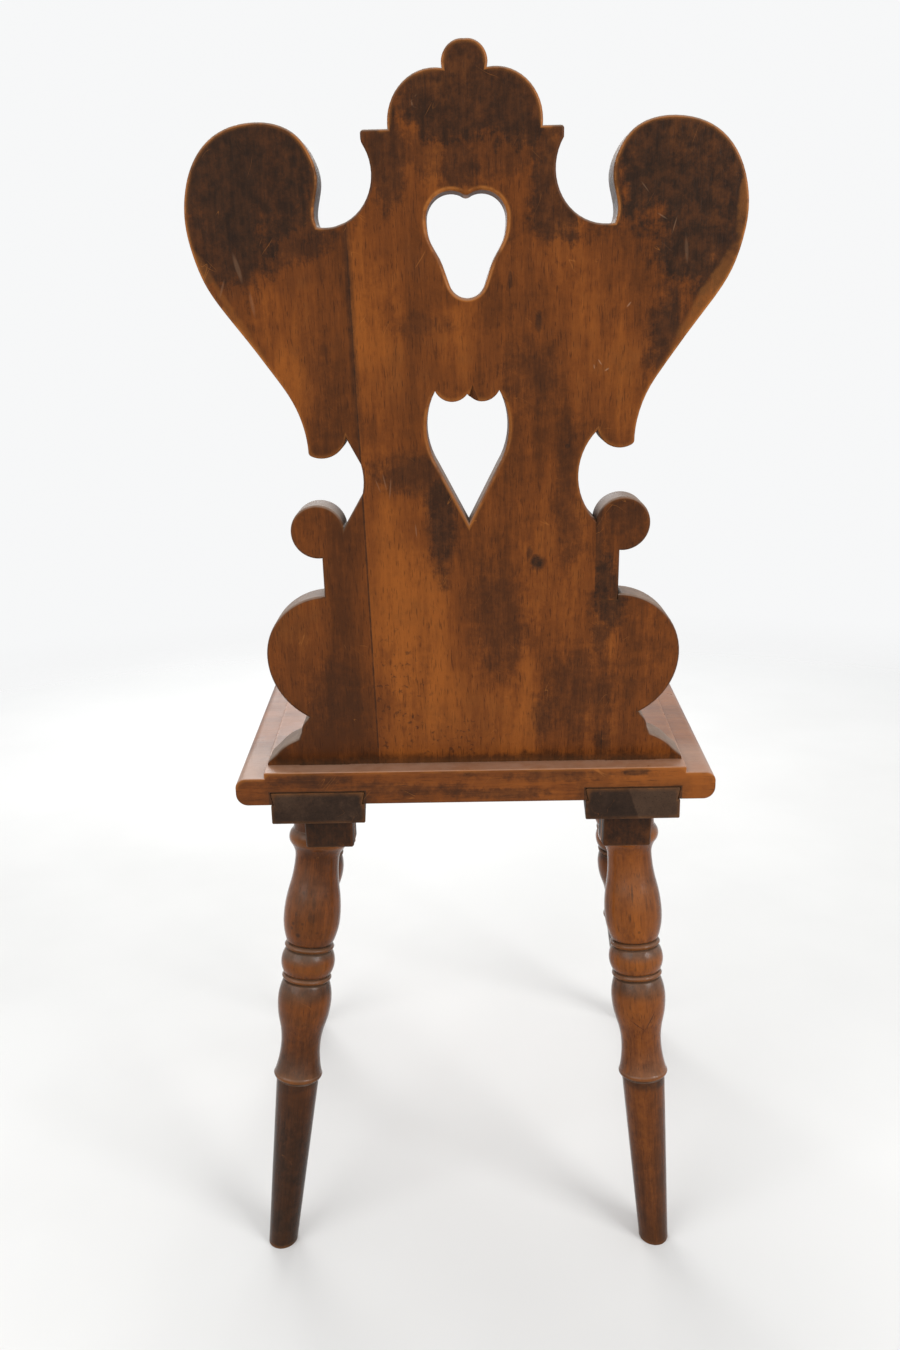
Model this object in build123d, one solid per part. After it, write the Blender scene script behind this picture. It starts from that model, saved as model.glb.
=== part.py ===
"""Alpine board chair: carved back board on a plank seat, two dovetailed battens, four turned legs.

Millimetres, +Z up, the sitter looks towards -Y.  Everything is laid out from the middle of the
seat's rear edge at y = 0 and moved at the end so that the origin is under the middle of the box.
"""
import os
from math import cos, radians, sin, sqrt

from build123d import *

# Seat
SEAT_HEIGHT = 455.0
SEAT_THICK = 27.3
SEAT_DEPTH = 385.0
SEAT_REAR_WIDTH = 382.0
SIDE_FLARE = 0.076          # sideways per unit of depth, seat sides and battens alike
FIELD_STEP = 4.8            # raised flat field above the border
BORDER_WIDTH = 23.4
NOSING_TOP_RADIUS = 8.0
NOSING_LOW_RADIUS = 9.5
SEAT_CORNER_RADIUS = 14.0

# Battens under the seat
BATTEN_WIDTH = 75.0
BATTEN_THICK = 26.0
BATTEN_STOP = 40.0          # front end of the battens to the seat's front edge
BATTEN_INSET = 65.2         # centre line inside the seat's side edge, at the rear
BATTEN_PROUD = 0.8
HOUSING_DEPTH = 10.2
DOVETAIL_UNDERCUT = 2.2

# Back board
BOARD_THICK = 26.5
BOARD_TILT = 5.44
BOARD_SETBACK = 19.4        # seat's rear edge to the board's rear face
TENON_INSET = 1.8           # tenon's middle inside the batten's
TENON_WIDTH = 40.0
TENON_DRIFT = 2.3           # both tenons stand that much to the right
TENON_BELOW = 33.0          # left tenon under its batten
TENON_LONGER = 2.8          # right tenon against the left one
STAVE_INSET = 19.6          # glue line of the added staves inside the wing's notch
STAVE_LEAN = 0.72           # degrees, the glue line leans in towards the foot
REPAIR_SINK = 5.0           # the let-in ear's foot below the lobe's top

# Outline of the back board in its own plane, from the foot up; every height starts at the last one
TOE_WIDTH = 167.6           # half of the foot, as all widths here
TOE_RISE = 3.0
OGEE_END = (7.6, 9.8)       # inset from the toe, height
OGEE_START = (26.4, 22.6)
CAVETTO_END = (29.1, 28.0)
FOOT_CUSP = (36.2, 41.2)
FOOT_SWELL = 1.6
LOBE_RISE = 50.4            # lobe's widest place above the foot's cusp
LOBE_RADIUS = 49.2
STEM_WIDTH = 111.8
STEM_HEIGHT = 50.2          # ear's centre above the lobe's top
EAR_RADIUS = 20.3
EAR_OVERHANG = 3.2          # ear's centre outside the stem's edge
EAR_NOTCH_RISE = 3.0        # notch above the ear's centre
WAIST_RISE = 68.8           # cusp above the ear's centre
WAIST_CUSP_INSET = 10.3     # inside the wing's notch
WAIST_HOLLOW = 13.6
TIP_DROP = 10.8
TIP_SWELL = 7.5
WING_NOTCH_WIDTH = 101.6
WING_NOTCH_RISE = 140.2     # above the waist's cusp
WING_INNER = 99.6
WING_OUTER = 191.5
WING_HEAD = 64.2            # top of the wing above its notch
LEDGE_RISE = 58.5           # above the wing's notch
LEDGE_INSET = 33.6          # ledge's end inside the wing's notch
LEDGE_THICK = 7.0
NECK_HOLLOW = 20.3
CAP_WIDTH = 51.5
CAP_RADIUS = 31.5
CAP_STEP = 3.5
KNOB_WIDTH = 14.8
KNOB_HEIGHT = 16.4
KNOB_BULGE = (0.4, 3.3)     # widest place: outside the knob's foot, above the cap's curve
KNOB_ROUND = (10.8, 13.0)   # a point of the knob's round top

# Course of a wing's edge from its notch round to its tip: shares of its width and height
WING_COURSE = [(0.040, 0.737), (0.000, 0.836), (0.042, 0.911), (0.135, 0.964), (0.287, 0.995),
               (0.472, 1.000), (0.641, 0.985), (0.788, 0.949), (0.907, 0.888), (0.976, 0.813),
               (1.000, 0.720), (0.968, 0.632), (0.897, 0.544), (0.763, 0.453), (0.603, 0.362),
               (0.445, 0.267), (0.312, 0.179), (0.236, 0.093)]
WING_TIP_SHARE = 0.211

# The outline was drawn by hand: how far out and up each feature strays on the left and on the right
LOBE_STRAY = ((0.0, 0.0), (0.0, -2.0))
STEM_STRAY = ((1.0, 0.0), (0.0, 0.0))
EAR_STRAY = ((0.0, -0.8), (-1.3, 1.3))
WAIST_STRAY = ((-1.6, -1.3), (1.5, 1.0))
TIP_STRAY = ((-1.0, -2.0), (0.8, 2.3))
HEAD_STRAY = ((0.5, 0.0), (-1.3, -1.7))
NECK_STRAY = ((0.0, 0.0), (-1.0, -1.5))
LEDGE_STRAY = ((1.7, 0.0), (-2.5, 0.0))

# Openings of the back board: heights above each one's own foot
UPPER_FOOT_RISE = 92.8      # above the waist's cusp
UPPER_NOTCH = 64.1
UPPER_LOBE = (12.5, 67.7)
UPPER_SIDE = (27.5, 50.7)
UPPER_FLANK = (25.4, 37.7)
UPPER_TAPER = (19.0, 26.2)
UPPER_SWELL = (12.1, 8.3)
LOWER_POINT_DROP = 64.8     # below the waist's cusp
LOWER_NOTCH = 93.0
SCALLOP_MID = (11.6, 87.8)
LOWER_CUSP = (23.0, 95.4)
LOWER_SIDE = (29.6, 73.0)
LOWER_RUN = (22.0, 42.5)
LOWER_DRIFT = 1.2           # sawn a little to the sitter's left of the middle

# Turned legs, radii and distances down from the underside of the batten
LEG_TENON_RADIUS = 15.0
COLLAR_RADIUS = 23.2
COLLAR_LENGTH = 38.0
RING_SWELL = 3.2
RING_HEIGHT = 15.0
NECK_RADIUS = 19.3
NECK_DOWN = 64.0
VASE_RADIUS = 25.2
VASE_DOWN = 117.0
GROOVE_RADIUS = 20.0
VASE_FOOT_DOWN = 141.5
FILLET_HEIGHT = 4.6
FILLET_STEP = 1.2
BALL_SWELL = 3.9
BALL_HEIGHT = 24.0
LOW_VASE_RADIUS = 23.9
LOW_VASE_RUN = 18.3         # widest place below the second fillet
WAIST_RADIUS = 17.6
WAIST_RUN = 43.0
LIP_RADIUS = 21.0
LIP_RUN = 25.0
LIP_HEIGHT = 4.0
SHANK_RADIUS = 19.0
FOOT_RADIUS = 12.8

# Where the legs leave the battens, and how far they run out and away on the way to the floor
REAR_LEG_SETBACK = 86.0     # from the seat's rear edge
FRONT_LEG_SETBACK = 75.0    # from the seat's front edge
LEG_SET_OUT = 0.8           # outside the batten's centre line
REAR_RUN = 72.5
FRONT_RUN = 50.0
REAR_LEFT_SPLAY = 48.4
REAR_RIGHT_SPLAY = 23.4
FRONT_LEFT_SPLAY = 54.8
FRONT_RIGHT_SPLAY = 39.8

# Wedges
WEDGE_THICK = 3.2
WEDGE_TIP = 0.8
LEG_WEDGE_DEPTH = 19.0
LEG_WEDGE_WIDTH = 27.0
TENON_WEDGE_DEPTH = 44.0
KERF_RELIEF = 1.0

# Clearances
SLIDE_GAP = 0.15            # dovetail in its housing
MORTISE_GAP = 0.2           # tenons in their mortises

SEAT_UNDER = SEAT_HEIGHT - SEAT_THICK
BATTEN_OFFSET = SEAT_REAR_WIDTH / 2 - BATTEN_INSET
BATTEN_TOP = SEAT_UNDER + HOUSING_DEPTH - SLIDE_GAP
BATTEN_UNDER = BATTEN_TOP - BATTEN_THICK
BOARD_PLANE = Plane(
    origin=(0, -BOARD_SETBACK, SEAT_HEIGHT),
    x_dir=(1, 0, 0),
    z_dir=(0, -cos(radians(BOARD_TILT)), sin(radians(BOARD_TILT))),
)
FAR = 1000.0


def board_point(u, v, inset=0.0):
    """A point beside the middle, up the board and in from its rear face."""
    return BOARD_PLANE.from_local_coords(Vector(u, v, inset))


def strayed(u, v, strays, side):
    """A template point moved by what the left (1) or right (-1) half strays; 0 is the template."""
    out, up = strays[0] if side == 1 else strays[1] if side == -1 else (0, 0)
    return u + out, v + up


def ear_centre(side=0):
    v = FOOT_CUSP[1] + LOBE_RISE + LOBE_RADIUS + STEM_HEIGHT
    return strayed(STEM_WIDTH + EAR_OVERHANG, v, EAR_STRAY, side)


def ear_notch(side=0):
    u, v = ear_centre(side)
    return u - sqrt(EAR_RADIUS ** 2 - EAR_NOTCH_RISE ** 2), v + EAR_NOTCH_RISE


def waist_cusp(side=0):
    return strayed(WING_NOTCH_WIDTH - WAIST_CUSP_INSET, ear_centre()[1] + WAIST_RISE, WAIST_STRAY, side)


def wing_notch(side=0):
    return strayed(WING_NOTCH_WIDTH, waist_cusp()[1] + WING_NOTCH_RISE, NECK_STRAY, side)


def sag_arc(start, end, sagitta, side):
    """An arc that swells to the left of its run, and to the right on the mirrored side."""
    return SagittaArc(start, end, side * sagitta)


def foot_edges(side, p):
    """The toe, the ogee, the cavetto and the round lobe, up to the lobe's top."""
    def from_toe(point):
        return p((TOE_WIDTH - point[0], point[1]))

    lobe_u, lobe_v = strayed(STEM_WIDTH, FOOT_CUSP[1] + LOBE_RISE, LOBE_STRAY, side)
    diagonal = LOBE_RADIUS * sin(radians(45))
    lobe_side = p((lobe_u + LOBE_RADIUS, lobe_v))
    return [
        Line(p((TOE_WIDTH, -BOARD_THICK)), p((TOE_WIDTH, TOE_RISE))),
        Line(p((TOE_WIDTH, TOE_RISE)), from_toe(OGEE_END)),
        sag_arc(from_toe(OGEE_END), from_toe(OGEE_START), -FOOT_SWELL, side),
        Line(from_toe(OGEE_START), from_toe(CAVETTO_END)),
        sag_arc(from_toe(CAVETTO_END), from_toe(FOOT_CUSP), -FOOT_SWELL, side),
        TangentArc(lobe_side, from_toe(FOOT_CUSP), tangent=(0, -1)),
        ThreePointArc(lobe_side, p((lobe_u + diagonal, lobe_v + diagonal)), p(lobe_top(side))),
    ]


def lobe_top(side):
    """Where the stem rises from the lobe's crown."""
    lobe_u, lobe_v = strayed(STEM_WIDTH, FOOT_CUSP[1] + LOBE_RISE, LOBE_STRAY, side)
    stem_u = strayed(STEM_WIDTH, 0, STEM_STRAY, side)[0]
    return stem_u, lobe_v + sqrt(LOBE_RADIUS ** 2 - (stem_u - lobe_u) ** 2)


def ear_edges(side, p):
    """The stem, the round ear and the hollow waist up to its cusp."""
    ear_u, ear_v = ear_centre(side)
    stem_low = lobe_top(side)
    stem_top = (stem_low[0], ear_v - sqrt(EAR_RADIUS ** 2 - (ear_u - stem_low[0]) ** 2))
    reach = EAR_RADIUS * sin(radians(45))
    ear_far = (ear_u + reach, ear_v + reach)
    return [
        Line(p(stem_low), p(stem_top)),
        ThreePointArc(p(stem_top), p(ear_far), p(ear_notch(side))),
        sag_arc(p(ear_notch(side)), p(waist_cusp(side)), WAIST_HOLLOW, side),
    ]


def wing_edges(side, p):
    """The wing's blunt tip and its long curve round the head to the notch."""
    head = strayed(WING_OUTER, wing_notch()[1] + WING_HEAD, HEAD_STRAY, side)
    low = strayed(WING_OUTER, waist_cusp()[1] - TIP_DROP, TIP_STRAY, side)

    def along(out, up):
        shift = low[0] + (head[0] - low[0]) * up - WING_OUTER
        return WING_INNER + shift + out * (WING_OUTER - WING_INNER), low[1] + up * (head[1] - low[1])

    tip = along(WING_TIP_SHARE, 0)
    return [
        sag_arc(p(waist_cusp(side)), p(tip), -TIP_SWELL, side),
        Spline(*[p(q) for q in [wing_notch(side)] + [along(*share) for share in WING_COURSE] + [tip]]),
    ]


def cap_edges(side, p):
    """The hollow neck, the moulded ledge, the cap's shoulder and half of the knob."""
    ledge_out = WING_NOTCH_WIDTH - LEDGE_INSET
    ledge_end, ledge_top = strayed(ledge_out, wing_notch()[1] + LEDGE_RISE, LEDGE_STRAY, side)
    cap_u = CAP_WIDTH - CAP_RADIUS
    cap_v = ledge_top + CAP_STEP
    diagonal = CAP_RADIUS * sin(radians(45))
    join = (KNOB_WIDTH, cap_v + sqrt(CAP_RADIUS ** 2 - (cap_u - KNOB_WIDTH) ** 2))
    bulge = (join[0] + KNOB_BULGE[0], join[1] + KNOB_BULGE[1])
    crown = (KNOB_ROUND[0], join[1] + KNOB_ROUND[1])
    return [
        sag_arc(p(wing_notch(side)), p((ledge_end, ledge_top - LEDGE_THICK)), NECK_HOLLOW, side),
        Line(p((ledge_end, ledge_top - LEDGE_THICK)), p((ledge_end, ledge_top))),
        Line(p((ledge_end, ledge_top)), p((CAP_WIDTH, ledge_top))),
        Line(p((CAP_WIDTH, ledge_top)), p((CAP_WIDTH, cap_v))),
        ThreePointArc(p((CAP_WIDTH, cap_v)), p((cap_u + diagonal, cap_v + diagonal)), p(join)),
        Line(p(join), p(bulge)),
        ThreePointArc(p(bulge), p(crown), p((0, join[1] + KNOB_HEIGHT))),
    ]


def board_face():
    """The back board's outline with a closed foot below the seat's top plane."""
    edges = [Line((TOE_WIDTH, -BOARD_THICK), (-TOE_WIDTH, -BOARD_THICK))]
    for side in (1, -1):
        def p(point):
            return (side * point[0], point[1])
        edges += foot_edges(side, p) + ear_edges(side, p) + wing_edges(side, p) + cap_edges(side, p)
    return make_face(edges)


def upper_opening():
    """Heart with a blunt foot."""
    foot = waist_cusp()[1] + UPPER_FOOT_RISE
    edges = []
    for side in (1, -1):
        def p(point):
            return (side * point[0], foot + point[1])
        lobe = ThreePointArc(p((0, UPPER_NOTCH)), p(UPPER_LOBE), p(UPPER_SIDE))
        blunt = TangentArc(p((0, 0)), p(UPPER_SWELL), tangent=(side, 0))
        flank = Spline(p(UPPER_SIDE), p(UPPER_FLANK), p(UPPER_TAPER), p(UPPER_SWELL),
                       tangents=(lobe % 1, (blunt % 1) * -1))
        edges += [lobe, flank, blunt]
    return make_face(edges)


def lower_opening():
    """Heart whose upper edge is two hanging scallops and whose foot is a point."""
    foot = waist_cusp()[1] - LOWER_POINT_DROP
    edges = []
    for side in (1, -1):
        def p(point):
            return (side * point[0] + LOWER_DRIFT, foot + point[1])
        edges.append(ThreePointArc(p((0, LOWER_NOTCH)), p(SCALLOP_MID), p(LOWER_CUSP)))
        edges.append(ThreePointArc(p(LOWER_CUSP), p(LOWER_SIDE), p(LOWER_RUN)))
        edges.append(Line(p(LOWER_RUN), p((0, 0))))
    return make_face(edges)


def board_slab(face):
    """A face of the board's plane given the board's thickness, rear face on the plane."""
    return extrude(BOARD_PLANE * face, BOARD_THICK)


def tilted_block(u_low, u_high, z_low, z_high, grow=0.0):
    """A block that follows the board's tilt, trimmed level at two heights."""
    face = Pos((u_low + u_high) / 2, 0) * Rectangle(u_high - u_low + 2 * grow, FAR)
    plane = BOARD_PLANE.offset(-grow)
    block = extrude(plane * face, BOARD_THICK + 2 * grow)
    return block & level_slab(z_low, z_high)


def level_slab(z_low, z_high):
    return Pos(0, 0, (z_low + z_high) / 2) * Box(FAR, FAR, z_high - z_low)


def tenon_middle(side):
    return side * (BATTEN_OFFSET - TENON_INSET) - TENON_DRIFT


def tenon_end(side):
    return BATTEN_UNDER - TENON_BELOW - (TENON_LONGER if side < 0 else 0)


def tenon(side, low, high, grow=0.0):
    middle = tenon_middle(side)
    return tilted_block(middle - TENON_WIDTH / 2, middle + TENON_WIDTH / 2, low, high, grow)


def wedge_section(depth, relief=0.0):
    """Section of a driven wedge, its head a little below y = 0; with relief, of the sawn kerf."""
    wide = WEDGE_THICK / 2
    thin = WEDGE_TIP / 2
    over = 2 * WEDGE_THICK
    points = [(-wide, -over), (wide, -over), (wide, 0), (thin, depth)]
    points += [(thin, depth + relief), (-thin, depth + relief)] if relief else []
    points += [(-thin, depth), (-wide, 0)]
    return make_face(Polyline(*points, close=True))


def tenon_wedge(side, relief=0.0):
    """Wedge from below in the board's mid plane, as wide as the tenon; with relief, its kerf."""
    low = tenon_end(side)
    start = board_point(tenon_middle(side) + TENON_WIDTH / 2,
                        (low - SEAT_HEIGHT) / cos(radians(BOARD_TILT)), BOARD_THICK / 2)
    plane = Plane(origin=start, x_dir=BOARD_PLANE.z_dir, z_dir=(-1, 0, 0))
    section = wedge_section(TENON_WEDGE_DEPTH, relief)
    body = extrude(plane * section, TENON_WIDTH)
    return body & level_slab(low, SEAT_HEIGHT)


def back_pieces():
    """The main board, its two left staves and the let-in right ear."""
    slab = board_slab(board_face()) & level_slab(SEAT_HEIGHT, SEAT_HEIGHT + FAR)
    slab -= board_slab(upper_opening())
    slab -= board_slab(lower_opening())
    for side in (1, -1):
        slab += tenon(side, tenon_end(side), SEAT_HEIGHT)
        slab -= tenon_wedge(side, KERF_RELIEF)
    joint = WING_NOTCH_WIDTH - STAVE_INSET
    waist_v = (ear_notch()[1] + waist_cusp()[1]) / 2
    lean = Pos(joint, wing_notch()[1]) * Rot(0, 0, -STAVE_LEAN)
    left_half = board_slab(lean * Pos(FAR / 2, 0) * Rectangle(FAR, 2 * FAR))
    above = board_slab(Pos(0, waist_v + FAR / 2) * Rectangle(2 * FAR, FAR))
    notch_u = ear_notch(-1)[0]
    stem_u, crown_v = lobe_top(-1)
    upper = Pos(-notch_u - FAR / 2, (crown_v + waist_v) / 2) * Rectangle(FAR, waist_v - crown_v)
    let_in = Pos(-(notch_u + stem_u) / 2, crown_v) * Rectangle(stem_u - notch_u, 2 * REPAIR_SINK)
    ear_zone = board_slab(upper) + board_slab(let_in)
    staves = slab & left_half
    main = slab - left_half
    return {
        "back_board": main - ear_zone,
        "ear_right": main & ear_zone,
        "wing_stave_left": staves & above,
        "side_stave_left": staves - above,
    }


def seat_board():
    """Plank with a raised field, rounded borders, two stopped dovetail housings and two mortises."""
    def outline(inset):
        rear = SEAT_REAR_WIDTH / 2 - inset
        front = rear + SIDE_FLARE * (SEAT_DEPTH - inset)
        depth = SEAT_DEPTH - inset
        return Polyline((rear, 0), (front, -depth), (-front, -depth), (-rear, 0), close=True)

    plate = extrude(make_face(outline(0)), SEAT_THICK - FIELD_STEP)
    corners = plate.edges().filter_by(Axis.Z).sort_by(Axis.Y)[:2]
    plate = fillet(corners, SEAT_CORNER_RADIUS)
    top = plate.faces().sort_by(Axis.Z)[-1].edges()
    plate = fillet([e for e in top if e.center().Y < -BORDER_WIDTH], NOSING_TOP_RADIUS)
    low = plate.faces().sort_by(Axis.Z)[0].edges()
    plate = fillet([e for e in low if e.center().Y < -BORDER_WIDTH], NOSING_LOW_RADIUS)
    field = extrude(make_face(outline(BORDER_WIDTH)), SEAT_THICK)
    seat = Pos(0, 0, SEAT_UNDER) * (plate + field)
    for side in (1, -1):
        seat -= batten_body(side, SLIDE_GAP)
        seat -= tenon(side, SEAT_UNDER - FIELD_STEP, SEAT_HEIGHT + FIELD_STEP, MORTISE_GAP)
    return seat


def batten_plane(side):
    """Section plane of a batten, x across and y up, running forwards from behind the seat."""
    behind = BATTEN_THICK
    return Plane(
        origin=(side * (BATTEN_OFFSET - SIDE_FLARE * behind), behind, BATTEN_TOP),
        x_dir=(1, side * SIDE_FLARE, 0),
        z_dir=(side * SIDE_FLARE, -1, 0),
    )


def batten_body(side, grow=0.0):
    """Bar whose upper part flares into the seat's housing; grown, it cuts the housing right through."""
    half = BATTEN_WIDTH / 2
    neck = SLIDE_GAP - HOUSING_DEPTH
    base = half - DOVETAIL_UNDERCUT + grow
    section = [(-half - grow, grow), (half + grow, grow), (base, neck), (-base, neck)]
    plane = batten_plane(side)
    run = SEAT_DEPTH - BATTEN_STOP + plane.origin.Y + grow
    flare = extrude(plane * make_face(Polyline(*section, close=True)), run)
    bar_half, low = (base, neck - HOUSING_DEPTH) if grow else (half, -BATTEN_THICK)
    bar = plane * (Pos(0, (neck + low) / 2) * Rectangle(2 * bar_half, neck - low))
    body = flare + extrude(bar, run)
    if grow:
        return body
    return body & Pos(0, BATTEN_PROUD - FAR / 2, 0) * Box(FAR, FAR, FAR)


def leg_ends():
    """For each leg the middle of its shoulder under the batten and the middle of its foot."""
    front = SEAT_DEPTH - FRONT_LEG_SETBACK
    runs = {
        "leg_rear_left": (1, REAR_LEG_SETBACK, REAR_LEFT_SPLAY, REAR_RUN),
        "leg_rear_right": (-1, REAR_LEG_SETBACK, REAR_RIGHT_SPLAY, REAR_RUN),
        "leg_front_left": (1, front, FRONT_LEFT_SPLAY, -FRONT_RUN),
        "leg_front_right": (-1, front, FRONT_RIGHT_SPLAY, -FRONT_RUN),
    }
    ends = {}
    for name, (side, depth, splay, run) in runs.items():
        out = BATTEN_OFFSET + LEG_SET_OUT + SIDE_FLARE * depth
        top = Vector(side * out, -depth, BATTEN_UNDER)
        ends[name] = (top, top + Vector(side * splay, run, -BATTEN_UNDER))
    return ends


def leg_plane(top, foot):
    return Plane(origin=top, x_dir=(1, 0, 0), z_dir=top - foot)


def leg_profile(length):
    """Half section of a turned leg, the axis as y, zero at the batten's underside."""
    fillet_radius = GROOVE_RADIUS + FILLET_STEP
    ring_low = (COLLAR_RADIUS, -COLLAR_LENGTH - RING_HEIGHT)
    neck = (NECK_RADIUS, -NECK_DOWN)
    vase = (VASE_RADIUS, -VASE_DOWN)
    vase_foot = (GROOVE_RADIUS, -VASE_FOOT_DOWN)
    ball_top = vase_foot[1] - FILLET_HEIGHT
    ball_low = ball_top - BALL_HEIGHT
    low_vase_top = (GROOVE_RADIUS, ball_low - FILLET_HEIGHT)
    low_vase = (LOW_VASE_RADIUS, low_vase_top[1] - LOW_VASE_RUN)
    waist = (WAIST_RADIUS, low_vase[1] - WAIST_RUN)
    lip = (LIP_RADIUS, waist[1] - LIP_RUN)
    lip_low = lip[1] - LIP_HEIGHT
    spare = COLLAR_RADIUS       # beyond the batten's face and the floor, cut off later
    slope = (SHANK_RADIUS - FOOT_RADIUS) / (length + lip_low)
    end = (FOOT_RADIUS - slope * spare, -length - spare)
    return make_face([
        Line((0, spare), (COLLAR_RADIUS, spare)),
        Line((COLLAR_RADIUS, spare), (COLLAR_RADIUS, -COLLAR_LENGTH)),
        SagittaArc((COLLAR_RADIUS, -COLLAR_LENGTH), ring_low, RING_SWELL),
        TangentArc(neck, ring_low, tangent=(0, 1)),
        *ogee(neck, vase),
        TangentArc(vase, vase_foot, tangent=(0, -1)),
        *fillet_edges(fillet_radius, vase_foot[1], ball_top),
        SagittaArc((GROOVE_RADIUS, ball_top), (GROOVE_RADIUS, ball_low), BALL_SWELL),
        *fillet_edges(fillet_radius, ball_low, low_vase_top[1]),
        TangentArc(low_vase, low_vase_top, tangent=(0, 1)),
        *ogee(low_vase, waist),
        TangentArc(waist, lip, tangent=(0, -1)),
        Line(lip, (LIP_RADIUS, lip_low)),
        Line((LIP_RADIUS, lip_low), (SHANK_RADIUS, lip_low)),
        Line((SHANK_RADIUS, lip_low), end),
        Line(end, (0, end[1])),
        Line((0, end[1]), (0, spare)),
    ])


def fillet_edges(radius, high, low):
    """A narrow flat band between two grooves."""
    return (
        Line((GROOVE_RADIUS, high), (radius, high)),
        Line((radius, high), (radius, low)),
        Line((radius, low), (GROOVE_RADIUS, low)),
    )


def ogee(start, end):
    """Two arcs that leave one radius and reach another parallel to the leg's axis."""
    middle = ((start[0] + end[0]) / 2, (start[1] + end[1]) / 2)
    return TangentArc(start, middle, tangent=(0, -1)), TangentArc(end, middle, tangent=(0, 1))


def leg_tenon(top, foot, radius, z_high):
    rod = leg_plane(top, foot) * Cylinder(radius, FAR)
    return rod & level_slab(BATTEN_UNDER - COLLAR_LENGTH / 4, z_high)


def leg_wedge(top, foot, width=LEG_WEDGE_WIDTH, relief=0.0):
    """Wedge from above in the leg's tenon, across the batten's grain; with relief, its kerf."""
    axis = (top - foot).normalized()
    head = top + axis * ((BATTEN_TOP - BATTEN_UNDER) / axis.Z)
    thickness = Vector(0, 1, 0) - axis * axis.Y
    plane = Plane(origin=head, x_dir=thickness, z_dir=axis.cross(thickness))
    body = extrude(plane * wedge_section(LEG_WEDGE_DEPTH, relief), width / 2, both=True)
    return body & level_slab(BATTEN_UNDER, BATTEN_TOP)


def leg(top, foot):
    """Turned leg: shoulder scribed to the batten, foot cut level with the floor."""
    body = revolve(Plane.XZ * leg_profile((top - foot).length), Axis.Z)
    body = leg_plane(top, foot) * body
    body &= level_slab(0, BATTEN_UNDER)
    body += leg_tenon(top, foot, LEG_TENON_RADIUS, BATTEN_TOP)
    return body - leg_wedge(top, foot, 2 * LEG_TENON_RADIUS, KERF_RELIEF)


def batten(side, ends):
    body = batten_body(side)
    body -= tenon(side, BATTEN_UNDER - HOUSING_DEPTH, SEAT_HEIGHT, MORTISE_GAP)
    for top, foot in ends:
        body -= leg_tenon(top, foot, LEG_TENON_RADIUS + MORTISE_GAP, SEAT_HEIGHT)
    return body


def assembly():
    ends = leg_ends()
    parts = {"seat_board": seat_board()}
    for side, word in ((1, "left"), (-1, "right")):
        own = [pair for name, pair in ends.items() if name.endswith(word)]
        parts["batten_" + word] = batten(side, own)
        parts["tenon_wedge_" + word] = tenon_wedge(side)
    parts.update(back_pieces())
    for name, (top, foot) in ends.items():
        parts[name] = leg(top, foot)
        parts[name.replace("leg", "leg_wedge")] = leg_wedge(top, foot)
    return parts


def main():
    parts = assembly()
    box = Compound(children=[Part() + shape for shape in parts.values()]).bounding_box()
    shift = Pos(-box.center().X, -box.center().Y, -box.min.Z)
    os.makedirs("parts", exist_ok=True)
    for name, shape in parts.items():
        solids = shape.solids()
        print(name, len(solids), round(shape.volume), shape.is_valid)
        export_step(shift * solids[0] if len(solids) == 1 else shift * shape, "parts/" + name + ".step")
    print("box", box.size, "shift", -box.center().X, -box.center().Y)


main()
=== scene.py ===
# %% [markdown]
# A carved board chair of the Alpine kind, seen from behind. Its back is a sawn and carved board,
# tenoned through a plank seat and wedged under two battens. Four turned legs splay out below.
# The measured model is loaded first. Everything that follows is built round it, in metres.

# %% Load the measured model
from functools import partial
from math import cos, radians, sin, tan

import bmesh
import bpy
import numpy as np
from mathutils import Matrix, Vector
from mathutils.bvhtree import BVHTree
from mathutils.kdtree import KDTree


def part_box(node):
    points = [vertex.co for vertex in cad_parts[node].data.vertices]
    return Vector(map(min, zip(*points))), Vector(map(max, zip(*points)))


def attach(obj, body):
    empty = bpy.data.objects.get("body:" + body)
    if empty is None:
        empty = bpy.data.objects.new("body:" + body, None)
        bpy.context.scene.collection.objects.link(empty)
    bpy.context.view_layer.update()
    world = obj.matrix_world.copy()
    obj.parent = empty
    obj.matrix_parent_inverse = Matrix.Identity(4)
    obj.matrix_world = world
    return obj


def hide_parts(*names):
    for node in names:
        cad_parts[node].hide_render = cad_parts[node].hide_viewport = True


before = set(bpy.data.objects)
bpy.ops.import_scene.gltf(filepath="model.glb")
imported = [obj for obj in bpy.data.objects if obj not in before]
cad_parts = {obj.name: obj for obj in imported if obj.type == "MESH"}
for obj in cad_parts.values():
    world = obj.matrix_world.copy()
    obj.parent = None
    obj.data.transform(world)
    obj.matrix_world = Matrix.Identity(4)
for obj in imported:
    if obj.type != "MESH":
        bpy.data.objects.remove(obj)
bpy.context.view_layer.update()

# %% [markdown]
# The camera stands behind the chair, a little above the middle of the back and tipped down, as a
# person would hold it. The image is upright, so the sensor's 36 mm lie along its height.

# %% Camera
view = bpy.data.cameras.new("view")
view.sensor_width = 36.0
view.lens = 27.085
camera = bpy.data.objects.new("view", view)
camera.location = (0.0069, 0.9393, 0.7254)
camera.rotation_euler = (radians(75.81), radians(1.17), radians(-179.47))
bpy.context.scene.collection.objects.link(camera)
bpy.context.scene.camera = camera
bpy.context.scene.view_settings.view_transform = "Standard"
print("camera at", tuple(camera.location), "lens", view.lens)

# %% [markdown]
# A material is a tree of small nodes. Written out, each node takes several lines, and the recipe gets
# lost among them. The first of these helpers adds one node, sets its options and sockets, and links a
# socket when it is given another node's output. The others are the few nodes that every finish here
# is made of: sums, smooth steps, mixed colours and clouds of noise.


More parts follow.
